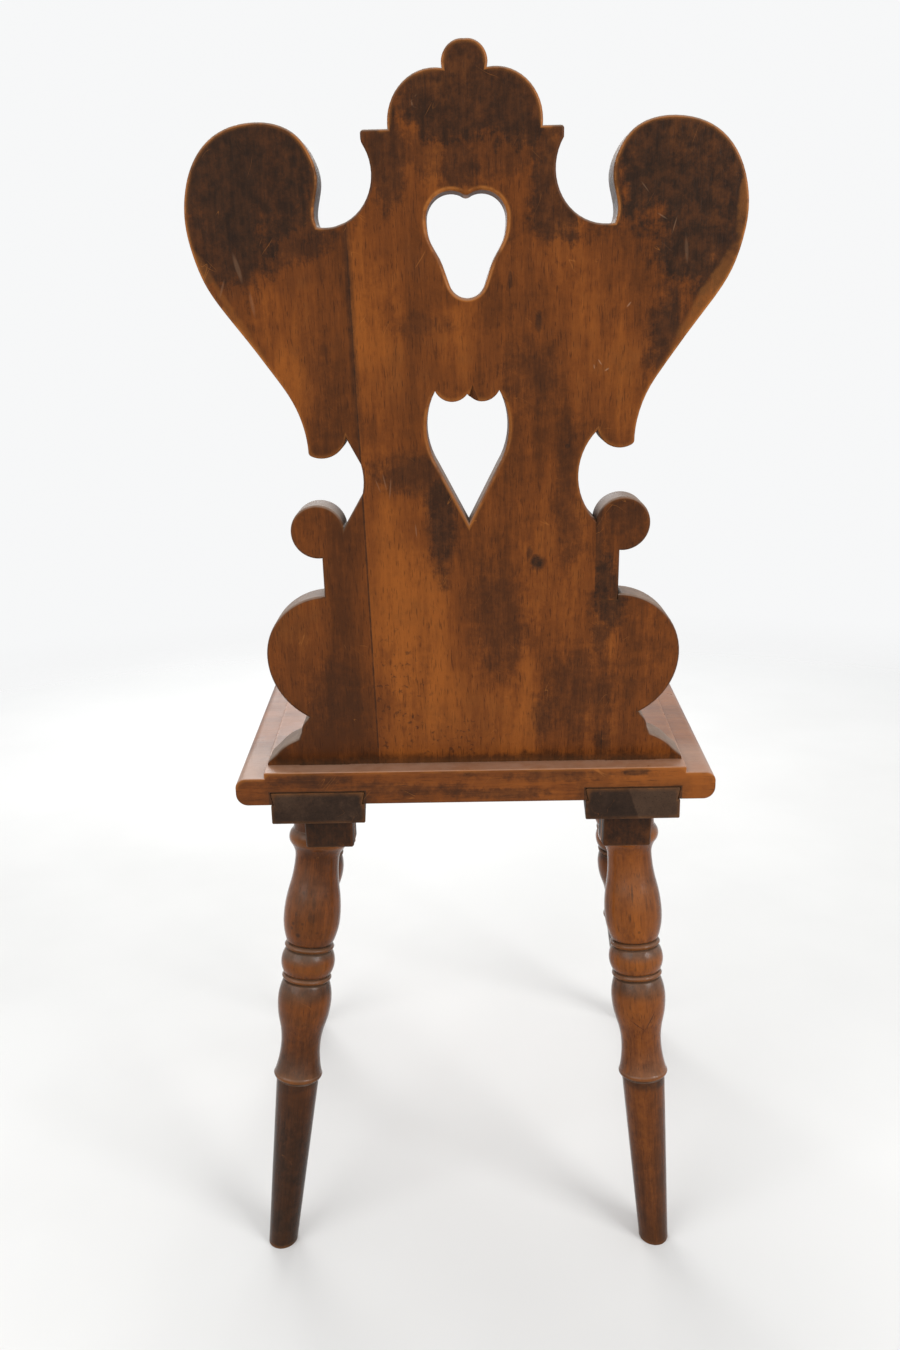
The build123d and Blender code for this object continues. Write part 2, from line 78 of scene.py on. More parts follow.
# %% Helpers for shader trees
def add(tree, kind, options=None, **sockets):
    """A node of a kind. A socket goes by its name, or by i and its number."""
    node = tree.nodes.new("ShaderNode" + kind)
    for key, value in (options or {}).items():
        setattr(node, key, value)
    for key, value in sockets.items():
        socket = node.inputs[int(key[1:])] if key[0] == "i" and key[1:].isdigit() else node.inputs[key]
        if isinstance(value, bpy.types.NodeSocket):
            tree.links.new(value, socket)
        else:
            socket.default_value = value
    return node


def math(tree, operation, a, b=0.0, clamp=False):
    return add(tree, "Math", {"operation": operation, "use_clamp": clamp}, i0=a, i1=b).outputs[0]


def span(tree, value, low, high, to_low=0.0, to_high=1.0):
    """Value between two limits, stretched smoothly and held outside them."""
    node = add(tree, "MapRange", {"interpolation_type": "SMOOTHSTEP"}, Value=value)
    for key, number in (("From Min", low), ("From Max", high), ("To Min", to_low), ("To Max", to_high)):
        node.inputs[key].default_value = number
    return node.outputs[0]


def mix(tree, factor, first, second):
    """The second colour over the first one, by a factor."""
    node = add(tree, "Mix", {"data_type": "RGBA"}, i0=factor)
    for socket, value in ((node.inputs[6], first), (node.inputs[7], second)):
        if isinstance(value, bpy.types.NodeSocket):
            tree.links.new(value, socket)
        else:
            socket.default_value = (*value, 1.0)
    return node.outputs[2]


def cloud(tree, where, scale, detail=3.0, roughness=0.5, stretch=(1, 1, 1)):
    """Noise in the given coordinates, drawn out along an axis by a small number there."""
    put = add(tree, "Mapping", None, Vector=where, Scale=tuple(scale * s for s in stretch))
    node = add(tree, "TexNoise", None, Vector=put.outputs[0], Scale=1.0, Detail=detail, Roughness=roughness)
    return node.outputs[0]


print("helpers: add, math, span, mix, cloud")

# %% [markdown]
# The floor is a plain pale disc that keeps the chair's soft shadow. A square floor would show its
# edge as a horizon behind the chair, so the disc fades out into the equally pale surround instead.

# %% Floor
FLOOR_RADIUS = 3.2
FADE_FROM, FADE_TO = 0.9, 3.0
FLOOR_TONES = (0.80, 0.80, 0.79), (0.84, 0.84, 0.83)


def pale_floor():
    bm = bmesh.new()
    bmesh.ops.create_circle(bm, cap_ends=True, segments=96, radius=FLOOR_RADIUS)
    mesh = bpy.data.meshes.new("floor")
    bm.to_mesh(mesh)
    bm.free()
    floor = bpy.data.objects.new("floor", mesh)
    bpy.context.scene.collection.objects.link(floor)
    material = bpy.data.materials.new("pale_floor")
    material.use_nodes = True
    tree = material.node_tree
    tree.nodes.clear()
    where = add(tree, "TexCoord").outputs["Object"]
    shade = cloud(tree, where, 2.5, 4.0)
    colour = mix(tree, span(tree, shade, 0.3, 0.7), *FLOOR_TONES)
    matt = add(tree, "BsdfPrincipled", None, Roughness=0.85)
    tree.links.new(colour, matt.inputs["Base Color"])
    far = add(tree, "VectorMath", {"operation": "LENGTH"}, i0=where).outputs["Value"]
    clear = add(tree, "BsdfTransparent")
    both = add(tree, "MixShader", None, Fac=span(tree, far, FADE_FROM, FADE_TO))
    tree.links.new(matt.outputs[0], both.inputs[1])
    tree.links.new(clear.outputs[0], both.inputs[2])
    out = add(tree, "OutputMaterial")
    tree.links.new(both.outputs[0], out.inputs["Surface"])
    mesh.materials.append(material)
    print("floor", FLOOR_RADIUS, "m in radius, fading from", FADE_FROM, "to", FADE_TO)


pale_floor()

# %% [markdown]
# A white surround that lit the chair at full strength would wash its dark wood out. So the surround is
# white only where the camera or a reflection looks at it, and lights the chair a little less. Three
# large soft lamps complete it: one on the camera's right, a fill on its left and one on the seat's
# side. Large lamps give the soft shadows of a window.

# %% Surround and lamps
SURROUND = (0.93, 0.935, 0.94, 1.0)
SURROUND_LIGHT = 0.62


def pale_surround():
    world = bpy.data.worlds.new("surround")
    bpy.context.scene.world = world
    world.use_nodes = True
    tree = world.node_tree
    tree.nodes.clear()
    path = add(tree, "LightPath")
    seen = math(tree, "MAXIMUM", path.outputs["Is Camera Ray"], path.outputs["Is Glossy Ray"])
    seen = math(tree, "MAXIMUM", seen, path.outputs["Is Transmission Ray"])
    strength = span(tree, seen, 0.0, 1.0, SURROUND_LIGHT, 1.0)
    back = add(tree, "Background", None, Color=SURROUND, Strength=strength)
    out = add(tree, "OutputWorld")
    tree.links.new(back.outputs[0], out.inputs["Surface"])


def soft_lamp(name, place, size, watts, aim=(0, 0, 0.45)):
    lamp = bpy.data.lights.new(name, "AREA")
    lamp.size = size
    lamp.energy = watts
    thing = bpy.data.objects.new(name, lamp)
    thing.location = place
    thing.rotation_euler = (Vector(aim) - Vector(place)).to_track_quat("-Z", "Y").to_euler()
    bpy.context.scene.collection.objects.link(thing)
    print(name, "at", place, "size", size, "m,", watts, "W")


pale_surround()
soft_lamp("lamp_left", (1.6, 1.5, 1.6), 1.6, 18)
soft_lamp("lamp_right", (-1.85, 1.55, 1.55), 1.1, 33)
soft_lamp("lamp_seat_side", (0.4, -2.0, 1.9), 1.8, 38)

# %% [markdown]
# The model's solids have sharp arrises. On the old chair two centuries of hands have rounded them by
# a millimetre or two. One way is to redraw each piece. The shorter way taken here is to copy the
# measured mesh, join its loose triangles, and let the bevel operator round every outer arris.
# The operator also tells which faces it made. Their middle points are marked in an attribute called
# rub, and the finishes use it to let the bare, lighter wood show on the arrises.


# %% Worn copies of the measured pieces
JOIN = 1e-5
FLAT = radians(0.15)
LEAST_ARRIS = radians(32)
SHARP = radians(38)


def joined_copy(node, flat=True, mend=None):
    """The node's loose triangles as one joined skin, with its flat faces made whole."""
    bm = bmesh.new()
    bm.from_mesh(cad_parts[node].data)
    bmesh.ops.remove_doubles(bm, verts=bm.verts[:], dist=JOIN)
    if mend:
        mend(bm)
    if flat:
        bmesh.ops.dissolve_limit(bm, angle_limit=FLAT, verts=bm.verts[:], edges=bm.edges[:])
    bm.verts.layers.float.new("rub")
    return bm


def round_arrises(bm, width, skip=None, segments=4, only=None):
    """Rounds the outer arrises and marks the points that lie inside the rounding."""
    edges = [e for e in bm.edges if e.is_manifold and e.is_convex and e.calc_face_angle() > LEAST_ARRIS]
    if skip:
        edges = [e for e in edges if not skip(e)]
    if only:
        edges = [e for e in edges if only(e)]
    made = bmesh.ops.bevel(bm, geom=edges, offset=width, offset_type="OFFSET", affect="EDGES",
                           segments=segments, profile=0.5, material=-1, clamp_overlap=False,
                           miter_outer="ARC", miter_inner="SHARP")
    faces = set(made["faces"])
    rub = bm.verts.layers.float["rub"]
    for v in bm.verts:
        if v.link_faces and all(f in faces for f in v.link_faces):
            v[rub] = 1.0


def finished(bm, name, node, material):
    """Turns the bmesh into a piece that stands for its measured node and carries a finish."""
    for f in bm.faces:
        f.smooth = True
    open_edges = sum(not e.is_manifold for e in bm.edges)
    mesh = bpy.data.meshes.new(name)
    bm.to_mesh(mesh)
    bm.free()
    mesh.set_sharp_from_angle(angle=SHARP)
    piece = bpy.data.objects.new(name, mesh)
    bpy.context.scene.collection.objects.link(piece)
    piece.modifiers.new("flats", "WEIGHTED_NORMAL").keep_sharp = True
    mesh.materials.append(material)
    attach(piece, "root")
    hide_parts(node)
    print(name, len(mesh.polygons), "faces", open_edges, "open edges")


print("arrises over", round(LEAST_ARRIS, 2), "radians are rounded")

# %% [markdown]
# Old brown wood under many coats of wax. Its figure has several scales: broad streaks from the growth
# rings, narrower streaks, fibres and pores, and a cloudy mottle with a little curl across the grain.
# A photograph of wood would be quicker, but it repeats and has its own light in it. Here each scale is
# a noise. Those of the grain are drawn out along it: object coordinates are turned so that the third
# axis runs along the grain.

# %% Figure of the wood
# a noise's name: scale, detail, roughness and, for the grain's, how it is drawn out
GRAIN_NOISES = {
    "broad": (24.0, 3.0, 0.55, (1, 1, 0.10)),
    "streak": (85.0, 4.0, 0.62, (1, 1, 0.05)),
    "fibre": (330.0, 4.0, 0.68, (1, 1, 0.045)),
    "pores": (1000.0, 2.0, 0.5, (1, 1, 0.06)),
    "curl": (60.0, 3.0, 0.55, (0.35, 0.35, 1.0)),
}
CLOUD_NOISES = {
    "blotch": (11.0, 5.0, 0.60),
    "patch": (34.0, 6.0, 0.66),
    "mottle": (120.0, 6.0, 0.72),
}


def weighed(tree, *pairs):
    """Sum of values, each times its weight."""
    total = None
    for value, weight in pairs:
        part = math(tree, "MULTIPLY", value, weight)
        total = part if total is None else math(tree, "ADD", total, part)
    return total


def centred(tree, *pairs):
    """Sum of noises about their middle of one half, each times its weight."""
    return math(tree, "SUBTRACT", weighed(tree, *pairs), 0.5 * sum(weight for _, weight in pairs))


def figure(tree, place, turn, shift):
    """The noises that a finish is built from, by name."""
    grain = add(tree, "Mapping", {"vector_type": "TEXTURE"}, Vector=place, Location=shift,
                Rotation=turn).outputs[0]
    look = {name: cloud(tree, grain, *settings) for name, settings in GRAIN_NOISES.items()}
    look.update({name: cloud(tree, place, *settings) for name, settings in CLOUD_NOISES.items()})
    look["pore"] = span(tree, look["pores"], 0.57, 0.70)
    look["scratch"] = math(tree, "MAXIMUM", hairlines(tree, grain, 0.5), hairlines(tree, grain, -0.9))
    look["ragged"] = centred(tree, (look["patch"], 1.4), (look["mottle"], 1.0))
    return look


def hairlines(tree, grain, angle, fine=0.0035):
    """Short light scratches: thin level lines of a noise drawn out along a slanting axis."""
    slant = add(tree, "Mapping", None, Vector=grain, Rotation=(0.0, angle, 0.0)).outputs[0]
    level = cloud(tree, slant, 95.0, 1.0, 0.4, (1, 1, 0.10))
    line = span(tree, math(tree, "ABSOLUTE", math(tree, "SUBTRACT", level, 0.5)), fine, 0.0)
    return math(tree, "MULTIPLY", line, span(tree, cloud(tree, slant, 42.0, 2.0), 0.60, 0.68))


print("noises of the wood:", ", ".join([*GRAIN_NOISES, *CLOUD_NOISES]))

# %% [markdown]
# The colours come in layers, as on the real chair. First the wood itself, then a film of wax and hand
# grease that is darker and never even, then fine scratches, and bare orange wood where hands rub. Each
# layer is a function that mixes its colour over the one below, by a mask made from the noises. One
# long function would do the same, but a layer at a time can be read and tried by itself.

# %% Layers of the finish
DARK_WOOD = (0.062, 0.0175, 0.0030)
WARM_WOOD = (0.150, 0.0400, 0.0058)
LIGHT_WOOD = (0.275, 0.0780, 0.0105)
BARE_WOOD = (0.420, 0.145, 0.028)
DARK_FILM = (0.0100, 0.0048, 0.0022)
LIGHT_FILM = (0.0380, 0.0160, 0.0066)
SCUFFED = (0.34, 0.19, 0.11)
FILM_LIMIT = 0.94
SCRATCH_STRENGTH = 0.35
CHAFE_REACH = 0.005


def figured(tree, place, look, tones, tone_shift, light_marks):
    """The wood itself: a tone from dark to light, with darker pores."""
    tone = centred(tree, (look["broad"], 0.85), (look["streak"], 0.50), (look["fibre"], 0.42),
                   (look["curl"], 0.15), (look["blotch"], 0.65), (look["patch"], 0.30),
                   (look["mottle"], 0.50))
    tone = math(tree, "ADD", tone, 0.5 + tone_shift)
    if light_marks:
        tone = math(tree, "ADD", tone, light_marks(tree, place, look))
    ramp = add(tree, "ValToRGB", None, Fac=span(tree, tone, 0.12, 0.88))
    dark, warm, light = tones
    ramp.color_ramp.elements[0].color = (*dark, 1)
    ramp.color_ramp.elements[1].color = (*light, 1)
    ramp.color_ramp.elements.new(0.5).color = (*warm, 1)
    pore = math(tree, "MULTIPLY", look["pore"], 0.5)
    return mix(tree, pore, ramp.outputs[0], tuple(0.4 * c for c in dark))


def grease(tree, look):
    """The film's own colour, which is never even."""
    uneven = centred(tree, (look["mottle"], 1.0), (look["fibre"], 0.8))
    return mix(tree, span(tree, uneven, -0.32, 0.36), DARK_FILM, LIGHT_FILM)


def waxed(tree, place, look, wood, film_colour, patina, dark_marks, wear_and_shade_mask):
    """The film of wax and grease, thick in the dark marks and on arrises that nobody rubs; there and in some
    dark marks it is also painted shade.
    """
    film = centred(tree, (look["blotch"], 1.5), (look["patch"], 1.6), (look["mottle"], 1.5),
                   (look["streak"], 0.8))
    film = math(tree, "MULTIPLY", span(tree, film, 0.0, 0.75), patina)
    if dark_marks:
        film = math(tree, "MAXIMUM", film, dark_marks(tree, place, look), True)
    if wear_and_shade_mask:
        # arrises that nobody rubs keep a dark film: grime, and painted shade on the rounded arrises
        grime_and_shade = math(tree, "MULTIPLY", look["rub"], span(tree, wear_and_shade_mask, 0.5, 0.0, 0.0, 0.6))
        film = math(tree, "MAXIMUM", film, grime_and_shade)
    film = math(tree, "MULTIPLY", film, span(tree, look["mottle"], 0.68, 0.36, 0.80, 1.0))
    return mix(tree, math(tree, "MINIMUM", film, FILM_LIMIT), wood, film_colour)


def scratched(tree, place, look, wood, scuffs, rubbed_and_highlight):
    """Fine scratches all over, then a piece's own scuffs and the bands where its film is gone, which are
    also a painted highlight on the board's rims.
    """
    wood = mix(tree, math(tree, "MULTIPLY", look["scratch"], SCRATCH_STRENGTH), wood, BARE_WOOD)
    if scuffs:
        wood = mix(tree, scuffs(tree, place, look), wood, SCUFFED)
    if rubbed_and_highlight:
        wood = mix(tree, rubbed_and_highlight(tree, place, look), wood, BARE_WOOD)
    return wood


def chafed(tree, look, wear_and_shade_mask):
    """Mask of the rounded arrises and a ragged band beside them."""
    inside = add(tree, "AmbientOcclusion", {"samples": 8, "inside": True}, Distance=CHAFE_REACH)
    chafe = math(tree, "MULTIPLY", span(tree, inside.outputs["AO"], 0.90, 0.55), 0.75)
    chafe = math(tree, "MAXIMUM", chafe, look["rub"])
    if wear_and_shade_mask:
        chafe = math(tree, "MULTIPLY", chafe, wear_and_shade_mask)
    return math(tree, "MULTIPLY", chafe, span(tree, look["ragged"], 0.22, -0.12, 0.25, 1.0))


print("layers: figured, waxed, scratched, chafed")

# %% [markdown]
# One recipe puts the layers together for every piece, because all grew and aged the same way. Only their
# tone, their marks and their dirt differ, and these are its settings. It adds what lies on top: darker,
# duller sawn walls, a seat worn lighter, pale dust on upward faces and dust in corners. The lighter upward
# faces are also a painted sheen. At last the same noises set how glossy the wax is and give the surface a
# relief of about a tenth of a millimetre.

# %% The wood recipe
DUST = (0.095, 0.058, 0.034)
# pale dust on upward faces, which also stands in for the sheen they catch from above: a painted sheen
SETTLED_DUST_AND_SHEEN = (0.29, 0.215, 0.165)
CORNER_REACH = 0.012
RELIEF = 0.0007


def aged_wood(name, turn=(0, 0, 0), shift=(0, 0, 0), tones=(DARK_WOOD, WARM_WOOD, LIGHT_WOOD),
              dark_marks=None, light_marks=None, arris=None, bare=0.8, patina=0.5, dusty=0.4,
              rough=0.42, shine=0.14, tone_shift=0.0, sawn=None, worn_and_sheen_top=0.0, dust_and_sheen_top=0.0,
              where_dust_and_sheen=None, dust_and_sheen=SETTLED_DUST_AND_SHEEN, scuffs=None, rubbed_and_highlight=None):
    material = bpy.data.materials.new(name)
    material.use_nodes = True
    tree = material.node_tree
    tree.nodes.clear()
    place = add(tree, "TexCoord").outputs["Object"]
    look = figure(tree, place, turn, shift)
    look["rub"] = add(tree, "Attribute", {"attribute_name": "rub"}).outputs["Fac"]
    wear_and_shade_mask = arris(tree, place) if arris else None
    film_colour = grease(tree, look)
    wood = figured(tree, place, look, tones, tone_shift, light_marks)
    wood = waxed(tree, place, look, wood, film_colour, patina, dark_marks, wear_and_shade_mask)
    wood = scratched(tree, place, look, wood, scuffs, rubbed_and_highlight)
    chafe = chafed(tree, look, wear_and_shade_mask)
    wood = mix(tree, math(tree, "MULTIPLY", chafe, bare), wood, BARE_WOOD)
    facing = add(tree, "NewGeometry").outputs["Normal"]
    upward = add(tree, "SeparateXYZ", None, Vector=facing).outputs[2]
    wall = 0.0
    if sawn:
        # sawn walls are darker and duller than the planed faces they stand on
        level = add(tree, "VectorMath", {"operation": "DOT_PRODUCT"}, i0=facing, i1=sawn).outputs["Value"]
        wall = span(tree, math(tree, "ABSOLUTE", level), 0.35, 0.12)
        wood = mix(tree, math(tree, "MULTIPLY", wall, 0.45), wood, film_colour)
    # upward faces are worn bare and lighter, and this is partly a painted sheen
    if worn_and_sheen_top:
        grainy = centred(tree, (look["patch"], 1.0), (look["streak"], 1.5), (look["fibre"], 1.0))
        bared_and_sheen = math(tree, "MULTIPLY", span(tree, upward, 0.7, 0.95),
                     span(tree, grainy, 0.45, -0.45, 0.0, worn_and_sheen_top))
        wood = mix(tree, bared_and_sheen, wood, BARE_WOOD)
    # upward faces take pale dust together with a painted sheen
    if dust_and_sheen_top:
        settled_and_sheen = math(tree, "MULTIPLY", span(tree, upward, 0.12, 0.65),
                       span(tree, look["ragged"], -0.30, 0.30, 0.6 * dust_and_sheen_top, dust_and_sheen_top))
        if where_dust_and_sheen:
            settled_and_sheen = math(tree, "MULTIPLY", settled_and_sheen, where_dust_and_sheen(tree, place))
        wood = mix(tree, settled_and_sheen, wood, dust_and_sheen)
    corner = add(tree, "AmbientOcclusion", {"samples": 6}, Distance=CORNER_REACH).outputs["AO"]
    deep = math(tree, "MULTIPLY", span(tree, corner, 0.78, 0.30), dusty)
    wood = mix(tree, deep, wood, DUST)
    gloss = weighed(tree, (look["patch"], 0.30), (look["mottle"], 0.20), (deep, 0.35), (chafe, -0.08),
                    (wall, 0.16))
    gloss = math(tree, "ADD", gloss, rough - 0.25)
    height = weighed(tree, (look["fibre"], 0.35), (look["streak"], 0.45), (look["patch"], 0.60),
                     (look["mottle"], 0.22), (look["curl"], 0.25), (look["pore"], -0.12),
                     (look["scratch"], -0.10))
    relief = add(tree, "Bump", None, Height=height, Strength=0.45, Distance=RELIEF)
    body = add(tree, "BsdfPrincipled", None, Roughness=gloss, Normal=relief.outputs[0])
    body.inputs["Specular IOR Level"].default_value = shine
    tree.links.new(wood, body.inputs["Base Color"])
    out = add(tree, "OutputMaterial")
    tree.links.new(body.outputs[0], out.inputs["Surface"])
    print("finish", name, "of", len(tree.nodes), "nodes")
    return material


# %% [markdown]
# Use leaves marks at certain places, not all over. A painted mask would need a picture. Here each mark
# is a soft round or long spot at its place on the board, and four noises eat into its edge, so that
# it frays out along the grain. Places are in millimetres: from the board's middle, and up its face
# from the seat. Hands reached both faces, but stains and scratches belong to the rear face alone and
# fade into the wood.

# %% Places on the back board
SEAT_TOP = 0.455
TILT = radians(5.44)
BOARD_NORMAL = Vector((0.0, cos(TILT), -sin(TILT)))
GLUE_LEAN = 0.01262
GLUE_LINE = 0.07123
THROUGH_ALL = 1e6
reaches = [BOARD_NORMAL.dot(v.co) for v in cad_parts["wing_stave_left"].data.vertices]
FRONT_FACE, REAR_FACE = min(reaches), max(reaches)


def spots(tree, place, look, rows, ragged=1.0, edge=(1.30, 0.50)):
    """Round or long marks from rows of (u, v, half width, half height, strength, lean in degrees)."""
    total = None
    wobble = centred(tree, (look["patch"], 2.1 * ragged), (look["mottle"], 1.5 * ragged),
                     (look["fibre"], 0.45 * ragged), (look["streak"], 0.7 * ragged))
    for u, v, wide, tall, strength, *lean in rows:
        put = add(tree, "Mapping", {"vector_type": "TEXTURE"}, Vector=place,
                  Location=(u / 1000, 0.0, SEAT_TOP + v / 1000 * cos(TILT)),
                  Rotation=(0.0, radians(lean[0]) if lean else 0.0, 0.0),
                  Scale=(wide / 1000, THROUGH_ALL, tall / 1000))
        far = add(tree, "VectorMath", {"operation": "LENGTH"}, i0=put.outputs[0]).outputs["Value"]
        far = math(tree, "ADD", far, wobble)
        one = math(tree, "MULTIPLY", span(tree, far, *edge), strength)
        total = one if total is None else math(tree, "MAXIMUM", total, one)
    return total


def on_rear_face(tree, place):
    """1 on the rear face, fading out a few millimetres into the board."""
    depth = add(tree, "VectorMath", {"operation": "DOT_PRODUCT"}, i0=place, i1=tuple(BOARD_NORMAL))
    return span(tree, depth.outputs["Value"], REAR_FACE - 0.008, REAR_FACE - 0.002)


def off_glue_line(tree, x, z):
    """Distance from the glue line, which leans in towards the foot."""
    off = math(tree, "SUBTRACT", x, math(tree, "MULTIPLY", z, GLUE_LEAN))
    return math(tree, "ABSOLUTE", math(tree, "SUBTRACT", off, GLUE_LINE))


print("board", round((REAR_FACE - FRONT_FACE) * 1000, 2), "mm thick, rear face at", round(REAR_FACE, 4))

# %% [markdown]
# Hands have darkened the heads of both wings and the cap. A stain hangs below the lower heart, a knot
# sits right of the middle, and the glue line has opened and filled with dirt. Rows of spots give the
# marks, the sharp ones with little fraying and the stains with much. The glue line is drawn by the
# distance from it instead, because it runs the whole height of the board and leans a little.

# %% Dark marks on the back board
HAND_MARKS = [
    (146, 436, 62, 56, 0.90), (166, 392, 32, 34, 0.80), (124, 396, 30, 24, 0.62),
    (-146, 440, 64, 54, 0.96), (-164, 398, 37, 45, 0.92), (0, 486, 62, 38, 0.86),
    (-34, 470, 22, 24, 0.86), (30, 480, 24, 24, 0.78), (-62, 425, 18, 44, 0.74),
    (52, 440, 14, 30, 0.60), (0, 446, 56, 22, 0.42),
]
STAINS = [
    (-138, 330, 14, 34, 0.80, -10), (4, 438, 16, 22, 0.70), (60, 446, 10, 20, 0.45),
    (22, 200, 12, 46, 0.85), (40, 232, 36, 14, 0.62), (-104, 128, 13, 18, 0.85),
    (-98, 108, 8, 18, 0.62), (-53, 40, 10, 20, 0.60), (-104, 14, 8, 22, 0.62),
    (-10, 390, 20, 10, 0.50), (0, 1, 165, 7, 0.65), (30, 335, 20, 8, 0.32),
    (-40, 300, 26, 26, 0.30), (-90, 60, 26, 40, 0.35), (110, 60, 26, 26, 0.30),
    (-20, 120, 22, 40, 0.35), (-75, 215, 14, 50, 0.35), (112, 300, 12, 50, 0.20),
]
KNOT_AND_CRACKS = [
    (-49.6, 164.6, 6.0, 6.5, 1.0), (-49.7, 335.8, 2.6, 7.0, 0.75), (-29.5, 363.6, 1.6, 8.0, 0.7),
    (-102.3, 14.0, 0.8, 18.0, 0.95), (-71, 250, 2.0, 2.0, 0.75), (-44, 172, 2.6, 5.0, 0.6),
]
SPECKLED = [(56, 62, 24, 52, 1.0), (25, 20, 54, 22, 1.0)]
EAR_MARKS = [(-103, 150, 12, 24, 0.85), (-95, 180, 5, 34, 0.55), (-118, 196, 18, 16, 0.35)]


def board_darks(tree, place, look):
    rear = on_rear_face(tree, place)
    stains = spots(tree, place, look, STAINS, ragged=0.8, edge=(1.38, 0.42))
    hands = spots(tree, place, look, HAND_MARKS, ragged=0.75, edge=(1.25, 0.72))
    sharp = spots(tree, place, look, KNOT_AND_CRACKS, ragged=0.4)
    total = math(tree, "MAXIMUM", math(tree, "MULTIPLY", stains, rear), hands)
    total = math(tree, "MAXIMUM", total, math(tree, "MULTIPLY", sharp, rear))
    speck = span(tree, cloud(tree, place, 260.0, 2.0, 0.5), 0.60, 0.68, 0.0, 0.55)
    speck = math(tree, "MULTIPLY", spots(tree, place, look, SPECKLED), speck)
    total = math(tree, "MAXIMUM", total, math(tree, "MULTIPLY", speck, rear))
    x, _, z = add(tree, "SeparateXYZ", None, Vector=place).outputs
    off = off_glue_line(tree, x, z)
    line = math(tree, "MULTIPLY", span(tree, off, 0.0009, 0.0003),
                span(tree, look["patch"], 0.35, 0.55, 0.4, 0.9))
    smear = span(tree, math(tree, "ADD", off, centred(tree, (look["fibre"], 0.004))), 0.0050, 0.0002)
    smear = math(tree, "MULTIPLY", math(tree, "MULTIPLY", smear, span(tree, z, 0.66, 0.78)), 0.66)
    total = math(tree, "MAXIMUM", total, math(tree, "MAXIMUM", line, smear))
    # the tenons' ends below the seat are darker: dirt, and painted shade under the seat
    return math(tree, "MAXIMUM", total, span(tree, z, 0.440, 0.425, 0.0, 0.9))


def repair_darks(tree, place, look):
    """The let-in ear is darker towards its foot, where the glue has run, and along its joint."""
    return math(tree, "MULTIPLY", spots(tree, place, look, EAR_MARKS), on_rear_face(tree, place))


print("dark marks:", len(HAND_MARKS + STAINS + KNOT_AND_CRACKS + EAR_MARKS))

# %% [markdown]
# The light marks are of three kinds. Where the wood is paler, its own tone changes under the film.
# Scratches and scuffs go through the film to dull wood. Bands along the wings' outer edges are rubbed bare,
# and they are also a painted highlight where those rims catch the light. A round plug on the cap shows only
# as a broken ring.

# %% Light marks on the back board
PALE_WOOD = [
    (46, 105, 36, 125, 0.23), (130, 296, 20, 40, 0.20), (60, 330, 28, 64, 0.10),
    (146, 345, 18, 28, 0.18), (5, 325, 28, 24, 0.10), (-93, 330, 24, 54, 0.06),
    (-40, 80, 60, 60, 0.04),
]
SCUFFS = [
    (158, 375, 1.6, 9, 0.18, 14), (170, 362, 0.8, 6, 0.18, -20), (150, 352, 1.2, 8, 0.14, 8),
    (-93, 308, 0.5, 2.2, 0.55, 35), (-98, 303, 0.6, 1.8, 0.5, -60), (-89, 305, 0.4, 1.6, 0.5, 10),
    (-112, 346, 0.5, 2.0, 0.5, -40), (63, 227, 0.5, 6, 0.22, 12), (59, 222, 0.5, 7, 0.22, -6),
    (68, 224, 0.4, 5, 0.20, 20), (-132, 402, 0.5, 4, 0.25, 60), (-141, 396, 0.4, 5, 0.25, -15),
    (-120, 420, 0.4, 4, 0.20, 40), (-150, 380, 1.2, 8, 0.14, 6), (41, 190, 0.5, 5, 0.25, 4),
]
# bands along the wings' outer rims: rubbed bare, and also a painted highlight where the rims catch the light
RUBBED_AND_HIGHLIGHT_BANDS = [(-163, 346, 5, 44, 0.26, -31), (167, 350, 3.5, 36, 0.18, 31), (-188, 428, 3.5, 32, 0.26, -4)]
PLUG_PLACE = (0.031, 0.4735)
PLUG_RADIUS = 0.004


def board_lights(tree, place, look):
    return spots(tree, place, look, PALE_WOOD, ragged=0.6)


def board_scuffs(tree, place, look):
    across, up = PLUG_PLACE
    off = add(tree, "Mapping", {"vector_type": "TEXTURE"}, Vector=place,
              Location=(across, 0.0, SEAT_TOP + up * cos(TILT)),
              Scale=(PLUG_RADIUS, THROUGH_ALL, PLUG_RADIUS)).outputs[0]
    off = add(tree, "VectorMath", {"operation": "LENGTH"}, i0=off).outputs["Value"]
    rim = span(tree, math(tree, "ABSOLUTE", math(tree, "SUBTRACT", off, 0.95)), 0.20, 0.04, 0.0, 0.24)
    rim = math(tree, "MULTIPLY", rim, span(tree, look["mottle"], 0.45, 0.6))
    total = math(tree, "MAXIMUM", spots(tree, place, look, SCUFFS, ragged=0.35), rim)
    return math(tree, "MULTIPLY", total, on_rear_face(tree, place))


def board_rubbed_and_highlight(tree, place, look):
    bands = spots(tree, place, look, RUBBED_AND_HIGHLIGHT_BANDS, ragged=1.2)
    return math(tree, "MULTIPLY", bands, on_rear_face(tree, place))


print("light marks:", len(PALE_WOOD + SCUFFS + RUBBED_AND_HIGHLIGHT_BANDS), "and a plug")

# %% [markdown]
# The arrises are bare where hands get to them: high up and round the openings, but not in the narrow notches
# and not beside a joint, where the wood was never an edge. The lower arrises keep a dark film, grime
# together with painted shade. The board, the two staves and the darker wood of the repair differ by a few
# settings of the recipe.

# %% Finishes of the back board
SCALLOP_HEIGHT = SEAT_TOP + 0.2880 * cos(TILT)


